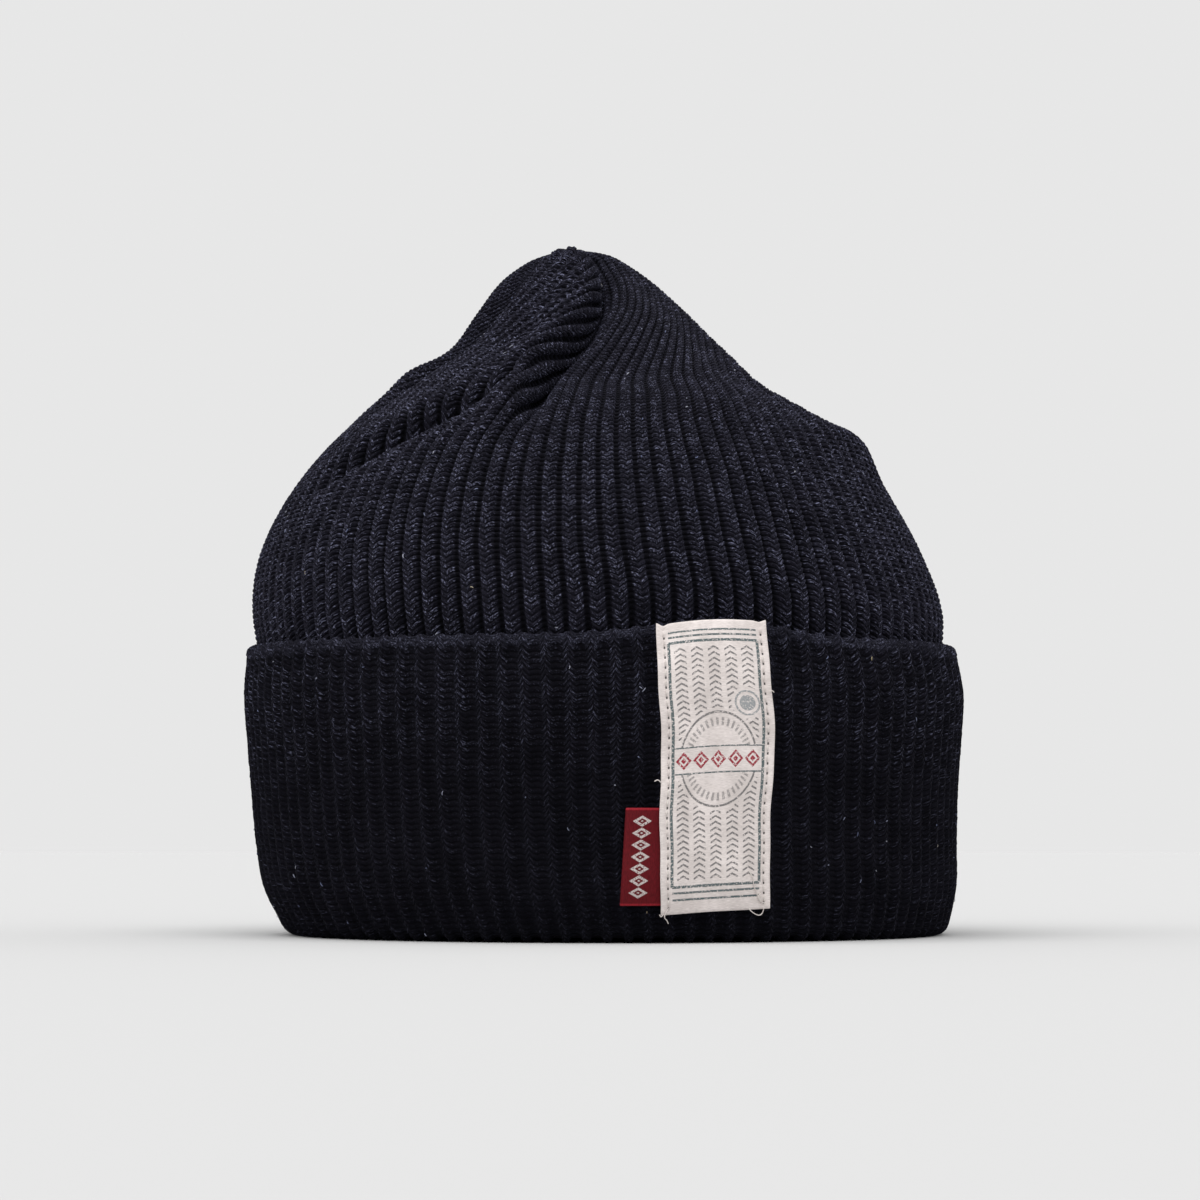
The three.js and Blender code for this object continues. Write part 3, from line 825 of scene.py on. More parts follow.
def label_surface(across, up, lift=0.0):
    """The middle of the label's cloth, pulled in along its stitches and lifting at its ends."""
    share = up / LABEL_LENGTH
    share_across = across / LABEL_WIDTH
    margin = np.minimum(across, LABEL_WIDTH - across)
    top = bell(up, LABEL_LENGTH, LABEL_TOP["reach"])
    foot = bell(up, 0.0, LABEL_FOOT["reach"])
    ears = sum(rise * bell(across, at, reach) for at, reach, rise in LABEL_EARS)
    sag = LABEL_FOOT["sag"] * bell(across, LABEL_FOOT["sag_at"], LABEL_FOOT["sag_reach"])
    height = LABEL["bottom"] + up + LABEL["skew"] * (share_across - 0.5)
    height = height + top * (ears - LABEL_TOP["drop"]) + foot * sag
    height = height + LABEL_TOP["bow"] * np.sin(np.pi * np.clip(share_across, 0, 1)) * share
    x = LABEL["left"] + across + LABEL["lean"] * (share - 0.5)
    sway = LABEL_SWAY["left"] + LABEL_SWAY["more_right"] * share_across
    x = x + sway * bell(share, LABEL_SWAY["at"], LABEL_SWAY["reach"])
    x = x + sum(swing * np.sin(up / run + phase) for swing, run, phase in SIDE_RIPPLES)
    pulled = bell(margin, STITCH_INSET, STITCH_PULL["reach"])
    along = np.cos(TURN * (up - STITCH_START) / STITCH_STEP)
    tick = STITCH_PULL["even"] + STITCH_PULL["dotted"] * along
    corners = FOOT_LIFT["all"] + FOOT_LIFT["right"] * bell(
        across, LABEL_WIDTH, FOOT_LIFT["right_reach"]) + FOOT_LIFT["left"] * bell(
        across, 0, FOOT_LIFT["left_reach"])
    ribs = np.cos(TURN * (x + RIB_SHOW["shift"]) / KNIT_PITCH_AT_FRONT)
    slant = np.sin(up / SLANT_WAVE["up_run"] + across / SLANT_WAVE["across_run"])
    past = height - LABEL["top"] + BEND_IN["from"]
    out = SEWN_GAP + LABEL_THICKNESS / 2 + label_rise(x, height) + lift
    out = out + PILLOW["height"] * smoothstep(margin, STITCH_INSET, PILLOW["full_at"])
    out = out - STITCH_PULL["depth"] * pulled * tick
    out = out + FREE_EDGE_LIFT * smoothstep(-margin, -STITCH_INSET, 0)
    shown = smoothstep(margin, RIB_SHOW["from"], RIB_SHOW["full_at"])
    out = out + RIB_SHOW["height"] * ribs * shown
    out = out + foot * corners + SLANT_WAVE["height"] * slant
    out = out - BEND_IN["depth"] * np.clip(past / BEND_IN["over"], 0, BEND_IN["most"]) ** 2
    return front_point(x, height, out)


def tab_surface(path, up):
    """The middle of the tab's ribbon. path runs along the front layer and round the fold."""
    fold = RIBBON_SPACING / 2
    bend = np.pi * fold
    run = TAB_DEPTH - fold
    inward = np.where(path < run, TAB["right"] - path, TAB["right"] - run + (path - run - bend))
    round_fold = np.clip((path - run) / bend, 0, 1)
    inward = np.where((path >= run) & (path <= run + bend),
                      TAB["right"] - run - fold * np.sin(np.pi * round_fold), inward)
    layer = fold * np.cos(np.pi * round_fold)
    x = inward + TAB["lean"] * (up / TAB_LENGTH - 0.5)
    free = 1 - smoothstep(inward - TAB["left"], 0, TAB_WAVE["free_share"] * TAB_DEPTH)
    wave = TAB_WAVE["height"] * np.sin(up / TAB_WAVE["run"]) * free
    out = SEWN_GAP + TAB_OUT + TAB_FOLD_LIFT * free + wave + layer
    return front_point(x, TAB["bottom"] + up, out)


def eased_steps(length, step):
    """Places along a length, closer together at both ends."""
    end = SHEET_EDGE[-1]
    count = max(2, round((length - 2 * end) / step) - 1)
    middle = np.linspace(end + step, length - end - step, count)
    return np.concatenate([SHEET_EDGE, middle, length - np.array(SHEET_EDGE[::-1])])


def sheet_mesh(name, surface, width, length, step, thickness):
    """A thin closed sheet round a middle surface, with rounded edges. Its map is in millimetres."""
    across = eased_steps(width, step)
    up = eased_steps(length, step)
    grid_up, grid_across = np.meshgrid(up, across, indexing="ij")
    middle = surface(grid_across, grid_up)
    normal = np.cross(np.gradient(middle, axis=1), np.gradient(middle, axis=0))
    normal /= np.linalg.norm(normal, axis=-1, keepdims=True)
    edge = np.minimum(np.minimum(grid_across, width - grid_across),
                      np.minimum(grid_up, length - grid_up))
    half = thickness / 2 * np.sqrt(np.clip(edge / SHEET_EDGE[-1], 0, 1))[..., None]
    front = (middle + normal * half).reshape(-1, 3)
    back = (middle - normal * half).reshape(-1, 3)
    index = np.arange(grid_up.size).reshape(grid_up.shape)
    under = index + grid_up.size
    rim = np.ones(grid_up.shape, dtype=bool)
    rim[1:-1, 1:-1] = False
    under[rim] = index[rim]

    def quads(place):
        corners = [place[:-1, :-1], place[:-1, 1:], place[1:, 1:], place[1:, :-1]]
        return np.stack(corners, axis=-1).reshape(-1, 4)

    faces = np.concatenate([quads(index), quads(under)[:, ::-1]])
    points = np.concatenate([front, back])
    used = np.unique(faces)
    renamed = np.zeros(len(points), dtype=int)
    renamed[used] = np.arange(len(used))
    flat = np.stack([grid_across.ravel(), grid_up.ravel()], axis=1)
    flat = np.concatenate([flat, flat])[used]
    faces = renamed[faces]
    mesh = mesh_of_faces(name, points[used], faces)
    add_map(mesh, "cloth", flat[faces.ravel()])
    return mesh


def mesh_of_faces(name, points, faces):
    """A smooth mesh of millimetre points, with faces of one size."""
    return build_mesh(name, points, faces.ravel(), np.arange(0, faces.size, faces.shape[1]), True)


STRAND_SIDES = 6
STRAND_SIDE = (0.31, 0.9, 0.3)


def tube(path, radius, sides=STRAND_SIDES):
    """Points and triangles of a round strand along a path, narrowing to a point at both ends."""
    path = np.asarray(path, dtype=float)
    tangent = np.gradient(path, axis=0)
    tangent /= np.linalg.norm(tangent, axis=1, keepdims=True)
    side = np.cross(tangent, STRAND_SIDE)
    side /= np.linalg.norm(side, axis=1, keepdims=True)
    other = np.cross(tangent, side)
    turn = np.arange(sides) / sides * TURN
    circle = np.cos(turn)[:, None, None] * side + np.sin(turn)[:, None, None] * other
    rings = np.swapaxes(path[1:-1] + circle[:, 1:-1] * radius, 0, 1)
    points = np.concatenate([path[:1], rings.reshape(-1, 3), path[-1:]])
    last = 1 + (len(rings) - 1) * sides
    faces = []
    for i in range(sides):
        j = (i + 1) % sides
        faces.append((0, 1 + j, 1 + i))
        for a in range(1, last, sides):
            b = a + sides
            faces += [(a + i, a + j, b + j), (a + i, b + j, b + i)]
        faces.append((last + i, last + j, len(points) - 1))
    return points, np.array(faces)


def strands_mesh(name, strands):
    """One mesh of several strands."""
    starts = np.cumsum([0] + [len(points) for points, _ in strands])
    faces = [faces + start for (_, faces), start in zip(strands, starts)]
    return mesh_of_faces(name, np.concatenate([points for points, _ in strands]),
                         np.concatenate(faces))


# Loose ends of the sewing thread: across and up the label in mm, and how far each stands off it
THREAD_ENDS = (
    ((1.9, 1.6, 0.2), (1.2, 0.6, 0.5), (0.9, -0.5, 0.7), (1.5, -1.3, 0.6), (1.9, -2.1, 0.3)),
    ((0.7, 0.3, 0.4), (0.1, -0.3, 0.5), (-0.3, 0.2, 0.5)),
    ((20.9, 0.5, 0.3), (21.5, -0.3, 0.7), (22.6, -1.1, 0.9), (23.6, -1.4, 0.8), (24.3, -0.9, 0.6),
     (24.6, 0.4, 0.5)),
    ((23.9, 1.4, 0.2), (22.9, 3.6, 0.5), (22.2, 5.6, 0.35), (21.9, 7.6, 0.4), (21.0, 9.2, 0.3)),
    ((24.0, 3.9, 0.2), (23.2, 3.0, 0.5), (23.9, 1.8, 0.45), (24.9, 1.3, 0.3)),
    ((0.2, 31.0, 0.3), (-0.7, 31.8, 0.6), (-1.5, 31.5, 0.5)),
    ((25.2, 51.0, 0.3), (26.0, 51.6, 0.5), (26.6, 51.2, 0.4)),
)
THREAD_END_POINTS = 6
# Unevenness of the stitches in mm, and how each rises from the cloth and dives back into it
STITCH_JITTER = 0.05
STITCH_SLANT = (0.1, 0.08)
STITCH_RISE = {"middle": 0.12, "dive": 0.9, "power": 2.2}
STITCH_STOP = 2.0


def make_label(material, thread):
    mesh = sheet_mesh("woven_label_cloth", label_surface, LABEL_WIDTH, LABEL_LENGTH, LABEL_STEP,
                      LABEL_THICKNESS)
    label = add_piece(mesh, "woven_label", material)
    surface_lift = LABEL_THICKNESS / 2
    random = np.random.default_rng(SEEDS["stitches"])
    strands = []
    for inset in (STITCH_INSET, LABEL_WIDTH - STITCH_INSET + RIGHT_STITCH_SHIFT):
        for start in np.arange(STITCH_START, LABEL_LENGTH - STITCH_STOP, STITCH_STEP):
            t = np.linspace(-0.5, 0.5, STITCH_POINTS)
            middle = start + STITCH_STEP / 2
            up = middle + t * STITCH_LENGTH + random.normal(0, STITCH_JITTER)
            across = inset + random.normal(0, STITCH_JITTER) + t * random.normal(*STITCH_SLANT)
            dive = STITCH_RISE["dive"] * np.abs(t) ** STITCH_RISE["power"]
            rise = surface_lift + STITCH_RISE["middle"] - dive
            strands.append(tube(label_surface(across, up, rise), STITCH_RADIUS))
    for ends in THREAD_ENDS:
        steps = np.linspace(0, 1, THREAD_END_POINTS * len(ends))
        across, up, rise = read_table(np.array(ends, dtype=float), steps).T
        strands.append(tube(label_surface(across, up, surface_lift + rise), THREAD_END_RADIUS))
    add_piece(strands_mesh("label_stitches", strands), "woven_label", thread)


def make_tab(material):
    length = 2 * (TAB_DEPTH - RIBBON_SPACING / 2) + np.pi * RIBBON_SPACING / 2
    mesh = sheet_mesh("side_tab_ribbon", tab_surface, length, TAB_LENGTH, TAB_STEP,
                      RIBBON_THICKNESS)
    tab = add_piece(mesh, "side_tab", material)


# Materials. The sides of their lines and bands are this soft, in mm.
SOFT_SIDE = 0.07


class Graph:
    """Short ways to build a material's nodes. Masks are values from 0 to 1."""

    def __init__(self, name):
        self.material = bpy.data.materials.new(name)
        self.material.use_nodes = True
        self.tree = self.material.node_tree
        self.tree.nodes.clear()

    def node(self, kind, inputs, **settings):
        """Outputs of a node with these settings. Inputs go by name or by number."""
        node = self.tree.nodes.new("ShaderNode" + kind)
        for key, value in settings.items():
            setattr(node, key, value)
        for key, value in inputs.items():
            if isinstance(value, bpy.types.NodeSocket):
                self.tree.links.new(value, node.inputs[key])
            else:
                node.inputs[key].default_value = value
        return node.outputs

    def math(self, operation, *values):
        return self.node("Math", dict(enumerate(values)), operation=operation)[0]

    def fold(self, operation, values):
        result = values[0]
        for value in values[1:]:
            result = self.math(operation, result, value)
        return result

    def times(self, *values):
        return self.fold("MULTIPLY", values)

    def plus(self, *values):
        return self.fold("ADD", values)

    def highest(self, *values):
        return self.fold("MAXIMUM", values)

    def weighted(self, values, weights):
        return self.plus(*(self.times(*pair) for pair in zip(values, weights)))

    def minus(self, a, b):
        return self.math("SUBTRACT", a, b)

    def size(self, value):
        return self.math("ABSOLUTE", value)

    def wave(self, value, length):
        return self.math("SINE", self.times(value, TURN / length))

    def mix(self, share, a, b, blend="MIX"):
        return self.node("Mix", {0: share, 6: a, 7: b}, data_type="RGBA", blend_type=blend)[2]

    def step(self, value, low, high, to_low=0.0, to_high=1.0):
        inputs = dict(enumerate((value, low, high, to_low, to_high)))
        return self.node("MapRange", inputs, interpolation_type="SMOOTHSTEP")[0]

    def below(self, value, full, gone):
        return self.step(value, full, gone, 1.0, 0.0)

    def noise(self, vector, scale, detail=2.0, roughness=0.5):
        inputs = {"Vector": vector, "Scale": scale, "Detail": detail, "Roughness": roughness}
        return self.node("TexNoise", inputs)["Fac"]

    def patches(self, vector, noise, span):
        """A noise of this scale, detail and roughness, as a mask between two of its values."""
        return self.step(self.noise(vector, *noise), *span)

    def slub(self, x, y, stretch, noise):
        """Streaks of uneven thread."""
        return self.noise(self.vector(self.times(x, stretch[0]), self.times(y, stretch[1])), *noise)

    def unbroken(self, uv, weft, breaks):
        """Where woven colours aren't broken by the ground thread."""
        uneven = self.plus(self.noise(uv, *breaks["noise"]), self.times(weft, breaks["weft"]))
        return self.step(uneven, *breaks["span"])

    def vector(self, x, y, z=0.0):
        return self.node("CombineXYZ", {0: x, 1: y, 2: z})[0]

    def length(self, x, y):
        return self.node("VectorMath", {0: self.vector(x, y)}, operation="LENGTH")["Value"]

    def object_place(self):
        return self.node("TexCoord", {})["Object"]

    def map(self, layer):
        """A map of the mesh, whole and along each of its two axes."""
        uv = self.node("UVMap", {}, uv_map=layer)[0]
        split = self.node("SeparateXYZ", {"Vector": uv})
        return uv, split[0], split[1]

    def line(self, value, centre, half, soft=SOFT_SIDE):
        """One within a half width of a centre, with soft sides."""
        return self.below(self.size(self.minus(value, centre)), half - soft, half + soft)

    def between(self, value, low, high):
        return self.times(self.step(value, low - SOFT_SIDE, low + SOFT_SIDE),
                          self.below(value, high - SOFT_SIDE, high + SOFT_SIDE))

    def repeated(self, value, period, start=0.0):
        """Distance from the middle of each repeat, in the value's own units."""
        part = self.math("FRACT", self.math("DIVIDE", self.minus(value, start), period))
        return self.size(self.times(self.minus(part, 0.5), period))

    def bump(self, height, distance=MM, strength=1.0):
        inputs = {"Height": height, "Distance": distance, "Strength": strength}
        return {"Normal": self.node("Bump", inputs)[0]}

    def finish(self, color, surface, others=()):
        """The finished material, with one shader. surface is its roughness and specular level."""
        inputs = {"Base Color": color, "Roughness": surface[0], "Specular IOR Level": surface[1]}
        shader = self.node("BsdfPrincipled", {**inputs, **dict(others)})[0]
        self.node("OutputMaterial", {"Surface": shader})
        return self.material


# Colours of the yarn, of the fibres caught in it and of the painted shade in its crevices
INDIGO_DARK = (0.0042, 0.0040, 0.0068, 1.0)
INDIGO = (0.0080, 0.0076, 0.0124, 1.0)
INDIGO_WORN = (0.038, 0.038, 0.059, 1.0)
INDIGO_FLECK = (0.21, 0.22, 0.33, 1.0)
# Painted shade, laid into the crevices between courses and between ribs
PAINTED_CREVICE_SHADE = (0.0015, 0.0014, 0.0022, 1.0)
FLECK_BLUE = (0.12, 0.14, 0.24, 1.0)
FLECK_PALE = (0.34, 0.35, 0.42, 1.0)
FLECK_STRAW = (0.32, 0.27, 0.17, 1.0)
SHEEN_TINT = (0.6, 0.6, 0.95, 1.0)

# The yarn's unevenness: waves in a mm, detail, roughness
PLY = (1.9, 2.0, 0.6)
PLY_STRETCH = 1.5
FIBRE = (5.5, 3.0, 0.7)
WORN_PATCH = (0.2, 2.0)
TONE = (0.09, 3.0)
TONE_RANGE = (0.36, 0.64)
# How much ply and fibre add to the yarn's relief, and how much else adds to its wear
YARN_RELIEF = (0.35, 0.2)
STITCH_WEAR = 0.12
FIBRE_WEAR = 0.2
PATCH_WEAR = 0.1
# Wear at which the yarn turns paler, and at which pale specks show
WORN_RANGE = (0.685, 0.85)
SPECK_RANGE = (0.83, 0.9)
SPECK_SHARE = 0.75
# How much of the pale yarn and specks is left at the cuff's bottom, so that it is darker there
PALE_SHARE_AT_BOTTOM = 0.35
# How the wave of each course is sharpened, and the parts of it and of the body that wear
WAVE_SHARPNESS = 0.7
BODY_OF_WAVE = (0.3, 0.9)
SPECK_OF_BODY = (0.1, 0.6)
# How far painted shade darkens the crevices between courses and between ribs
PAINTED_SHADE_SHARE = 0.25
PAINTED_SHADE_OF_WAVE = (0.1, 0.75)
PAINTED_SHADE_OF_CREST = (0.0, 0.6)
# The worn arches along the cuff's top edge, in mm
ARCH_RISE = 0.5
ARCH_REACH = (-0.8, -0.2)
# Wear there and what it shows: low and high wear, and the share of pale yarn at each
EDGE_WORN = (0.55, 0.8, 0.05, 0.6)
EDGE_SPECKS = (0.8, 0.9, 0.0, 0.65)
SHEEN = 0.05
SHEEN_ROUGHNESS = 0.4
# Roughness and specular level of each surface
KNIT_SURFACE = (0.95, 0.06)
FLECK_SURFACE = (0.8, 0.2)
LABEL_SURFACE = (0.62, 0.3)
THREAD_SURFACE = (0.6, 0.3)
TAB_SURFACE = (0.65, 0.12)
FLOOR_SURFACE = (1.0, 0.2)


def knit_material(name, crest_at, yarn_depth, groove, valley, shade, low_end=None, edge_at=None):
    """Fuzzy indigo yarn. crest_at is the part of a rib's width where its crest lies, groove says
    where the crest's sides lose their pale yarn and turn dark with painted shade, in ribs, and
    valley how bright they stay. Below low_end the pale yarn and specks fade, so the yarn is
    darker towards the bottom. shade darkens all of the colour towards the painted crevice
    shade, and edge_at is the length at which a worn edge begins."""
    g = Graph(name)
    _, rib, course = g.map("knit")
    up = g.times(course, COURSE)
    across = g.times(rib, RIB_PITCH)
    flat = g.vector(across, up)
    from_crest = g.size(g.minus(g.math("FRACT", g.plus(rib, 0.5 - crest_at)), 0.5))
    crest = g.step(from_crest, *groove, 1.0, valley)
    wave = g.math("POWER", g.size(g.math("SINE", g.times(course, math.pi))), WAVE_SHARPNESS)
    ply = g.noise(g.vector(across, g.times(up, PLY_STRETCH)), *PLY)
    fibre = g.noise(flat, *FIBRE)
    height = g.plus(g.times(wave, yarn_depth), g.weighted((ply, fibre), YARN_RELIEF))
    base = g.mix(g.patches(flat, TONE, TONE_RANGE), INDIGO_DARK, INDIGO)
    body = g.times(g.step(wave, *BODY_OF_WAVE), crest)
    half_stitch = g.vector(g.math("FLOOR", g.times(rib, 2.0)), g.math("FLOOR", course))
    stitch = g.node("TexWhiteNoise", {"Vector": half_stitch}, noise_dimensions="2D")["Value"]
    patches = g.times(g.noise(flat, *WORN_PATCH), PATCH_WEAR)
    fuzz = g.plus(ply, g.plus(g.times(fibre, FIBRE_WEAR), patches))
    wear = g.plus(g.times(stitch, STITCH_WEAR), fuzz)
    worn = g.times(g.step(wear, *WORN_RANGE), body)
    speck = g.times(g.step(wear, *SPECK_RANGE), g.step(body, *SPECK_OF_BODY))
    # Below low_end the pale yarn and specks fade, so the yarn is darker towards the bottom
    if low_end is not None:
        fading_towards_bottom = g.step(up, *low_end, PALE_SHARE_AT_BOTTOM, 1.0)
        worn = g.times(worn, fading_towards_bottom)
        speck = g.times(speck, fading_towards_bottom)
    color = g.mix(g.times(speck, SPECK_SHARE), g.mix(worn, base, INDIGO_WORN), INDIGO_FLECK)
    # Painted shade: the crevices between courses and between ribs are darkened towards the crevice
    # colour
    bright = g.times(g.step(wave, *PAINTED_SHADE_OF_WAVE, PAINTED_SHADE_SHARE, 1.0),
                     g.step(crest, *PAINTED_SHADE_OF_CREST, PAINTED_SHADE_SHARE, 1.0))
    color = g.mix(g.minus(1.0, bright), color, PAINTED_CREVICE_SHADE)
    if edge_at is not None:
        arch = g.times(g.math("COSINE", g.times(rib, TURN)), ARCH_RISE)
        reached = g.step(g.minus(up, arch), edge_at + ARCH_REACH[0], edge_at + ARCH_REACH[1])
        for shown, pale in ((EDGE_WORN, INDIGO_WORN), (EDGE_SPECKS, INDIGO_FLECK)):
            color = g.mix(g.times(reached, g.step(wear, *shown)), color, pale)
    # shade darkens the whole colour towards the painted crevice shade
    color = g.mix(1.0 - shade, color, PAINTED_CREVICE_SHADE)
    sheen = {"Sheen Weight": SHEEN * shade ** 2, "Sheen Roughness": SHEEN_ROUGHNESS,
             "Sheen Tint": SHEEN_TINT}
    return g.finish(color, KNIT_SURFACE, {**sheen, **g.bump(height)})


# Tones of the flecks and of the thread: a noise, and the values of it that the change spans
FLECK_TONES = (((60.0, 1.0), (0.42, 0.6)), ((37.0, 1.0), (0.6, 0.66)))
THREAD_TONE = ((700.0, 2.0), (0.4, 0.65))
THREAD_TWIST = {"noise": (2600.0, 2.0), "depth": 0.1 * MM, "strength": 0.7}


def fleck_material():
    """Pale fibres, from blue-grey to straw, with a tone of their own for each."""
    g = Graph("pale fibre flecks")
    place = g.object_place()
    color = g.mix(g.patches(place, *FLECK_TONES[0]), FLECK_BLUE, FLECK_PALE)
    color = g.mix(g.patches(place, *FLECK_TONES[1]), color, FLECK_STRAW)
    return g.finish(color, FLECK_SURFACE)


# Colours of the label, its thread and the tab
CREAM = (0.84, 0.765, 0.74, 1.0)
CREAM_SHADED = (0.61, 0.55, 0.525, 1.0)
CREAM_THREAD = (0.66, 0.62, 0.58, 1.0)
GREY_GREEN = (0.085, 0.115, 0.12, 1.0)
GREY_SOFT = (0.145, 0.14, 0.14, 1.0)
GREY_BLUE = (0.15, 0.19, 0.21, 1.0)
NEEDLE_HOLE = (0.05, 0.045, 0.045, 1.0)
LABEL_RED = (0.30, 0.010, 0.028, 1.0)
TAB_RED = (0.125, 0.0062, 0.0105, 1.0)
TAB_EDGE_RED = (0.30, 0.016, 0.026, 1.0)
TAB_WHITE = (0.62, 0.56, 0.54, 1.0)

# Layout of the label's weave, in mm across and up from its bottom left corner
FRAME_LEFT = 2.75
FRAME_RIGHT = LABEL_WIDTH - FRAME_LEFT
FRAME_BOTTOM = 6.4
FRAME_TOP = LABEL_LENGTH - 5.1
FRAME_LINE = 0.33
BAND_BOTTOM = 32.6
BAND_TOP_LINE = 38.7
# Lines across it: height up the label, half width
CROSS_LINES = (
    (3.4, 0.25),
    (5.0, 0.25),
    (LABEL_LENGTH - 2.5, 0.23),
    (LABEL_LENGTH - 3.75, 0.23),
    (FRAME_BOTTOM, FRAME_LINE),
    (FRAME_TOP, FRAME_LINE),
    (BAND_BOTTOM, 0.17),
    (BAND_TOP_LINE, 0.17),
)
# Pairs give where a mask's soft side begins and ends
CHEVRONS = {"columns": 5, "pitch": 1.36, "slant": 0.6, "inset": 0.6, "half": (0.17, 0.3),
            "half_width": (0.33, 0.37), "off_band": (4.4, 4.5), "foot": 1.5, "top": 1.2}
DIAMONDS = {"count": 5, "pitch": 3.95, "squash": 0.85, "ring": 1.45, "line": 0.33,
            "core": (0.55, 0.7), "inset": 0.4, "half_band": (2.2, 2.4)}
# The ring is an ellipse. Its parts are shares of its half width and half height.
RING = {"across": 8.7, "up": 11.0, "half": 0.023, "soft": 0.008, "clear": (1.08, 1.1),
        "off_band": (3.0, 3.15)}
TICKS = {"count": 44.0, "gap": (0.0, 0.3), "at": 0.8, "half": 0.085, "soft": 0.02, "share": 0.7}
ROUNDEL = {"across": 20.0, "up": 48.6, "ring": 2.75, "half": 0.22, "core": (1.75, 1.9),
           "clear": (3.7, 3.8), "share": 0.75}
HOLES = {"half": 0.23, "reach": (0.24, 0.4), "from": 1.2, "short_of_top": 1.6, "share": 0.95,
         "depth": 0.12}
SOFT_LINE_SHARE = 0.95
# Wave lengths of the weave in mm, its relief in mm, and its streaks and broken colours
LABEL_WEFT = 0.27
TAB_WEFT = 0.24
WARP = 0.2
LABEL_RELIEF = {"woven": 0.055, "weft": 0.018, "warp": 0.010, "slub": 0.05}
TAB_RELIEF = {"selvedge": 0.12, "weft": 0.02, "warp": 0.02, "motif": 0.06}
LABEL_SLUB = ((0.7, 4.0), (1.3, 3.0))
TAB_SLUB = ((3.0, 0.8), (1.2, 3.0))
LABEL_SOIL = (0.13, 3.0, 0.6)
CLEAN_RANGE = (0.36, 0.66)
LABEL_BREAKS = {"noise": (2.2, 2.0), "weft": 0.05, "span": (0.3, 0.5)}
TAB_BREAKS = {"noise": (3.0, 2.0), "weft": 0.08, "span": (0.32, 0.48)}
LABEL_SHEEN = 0.06


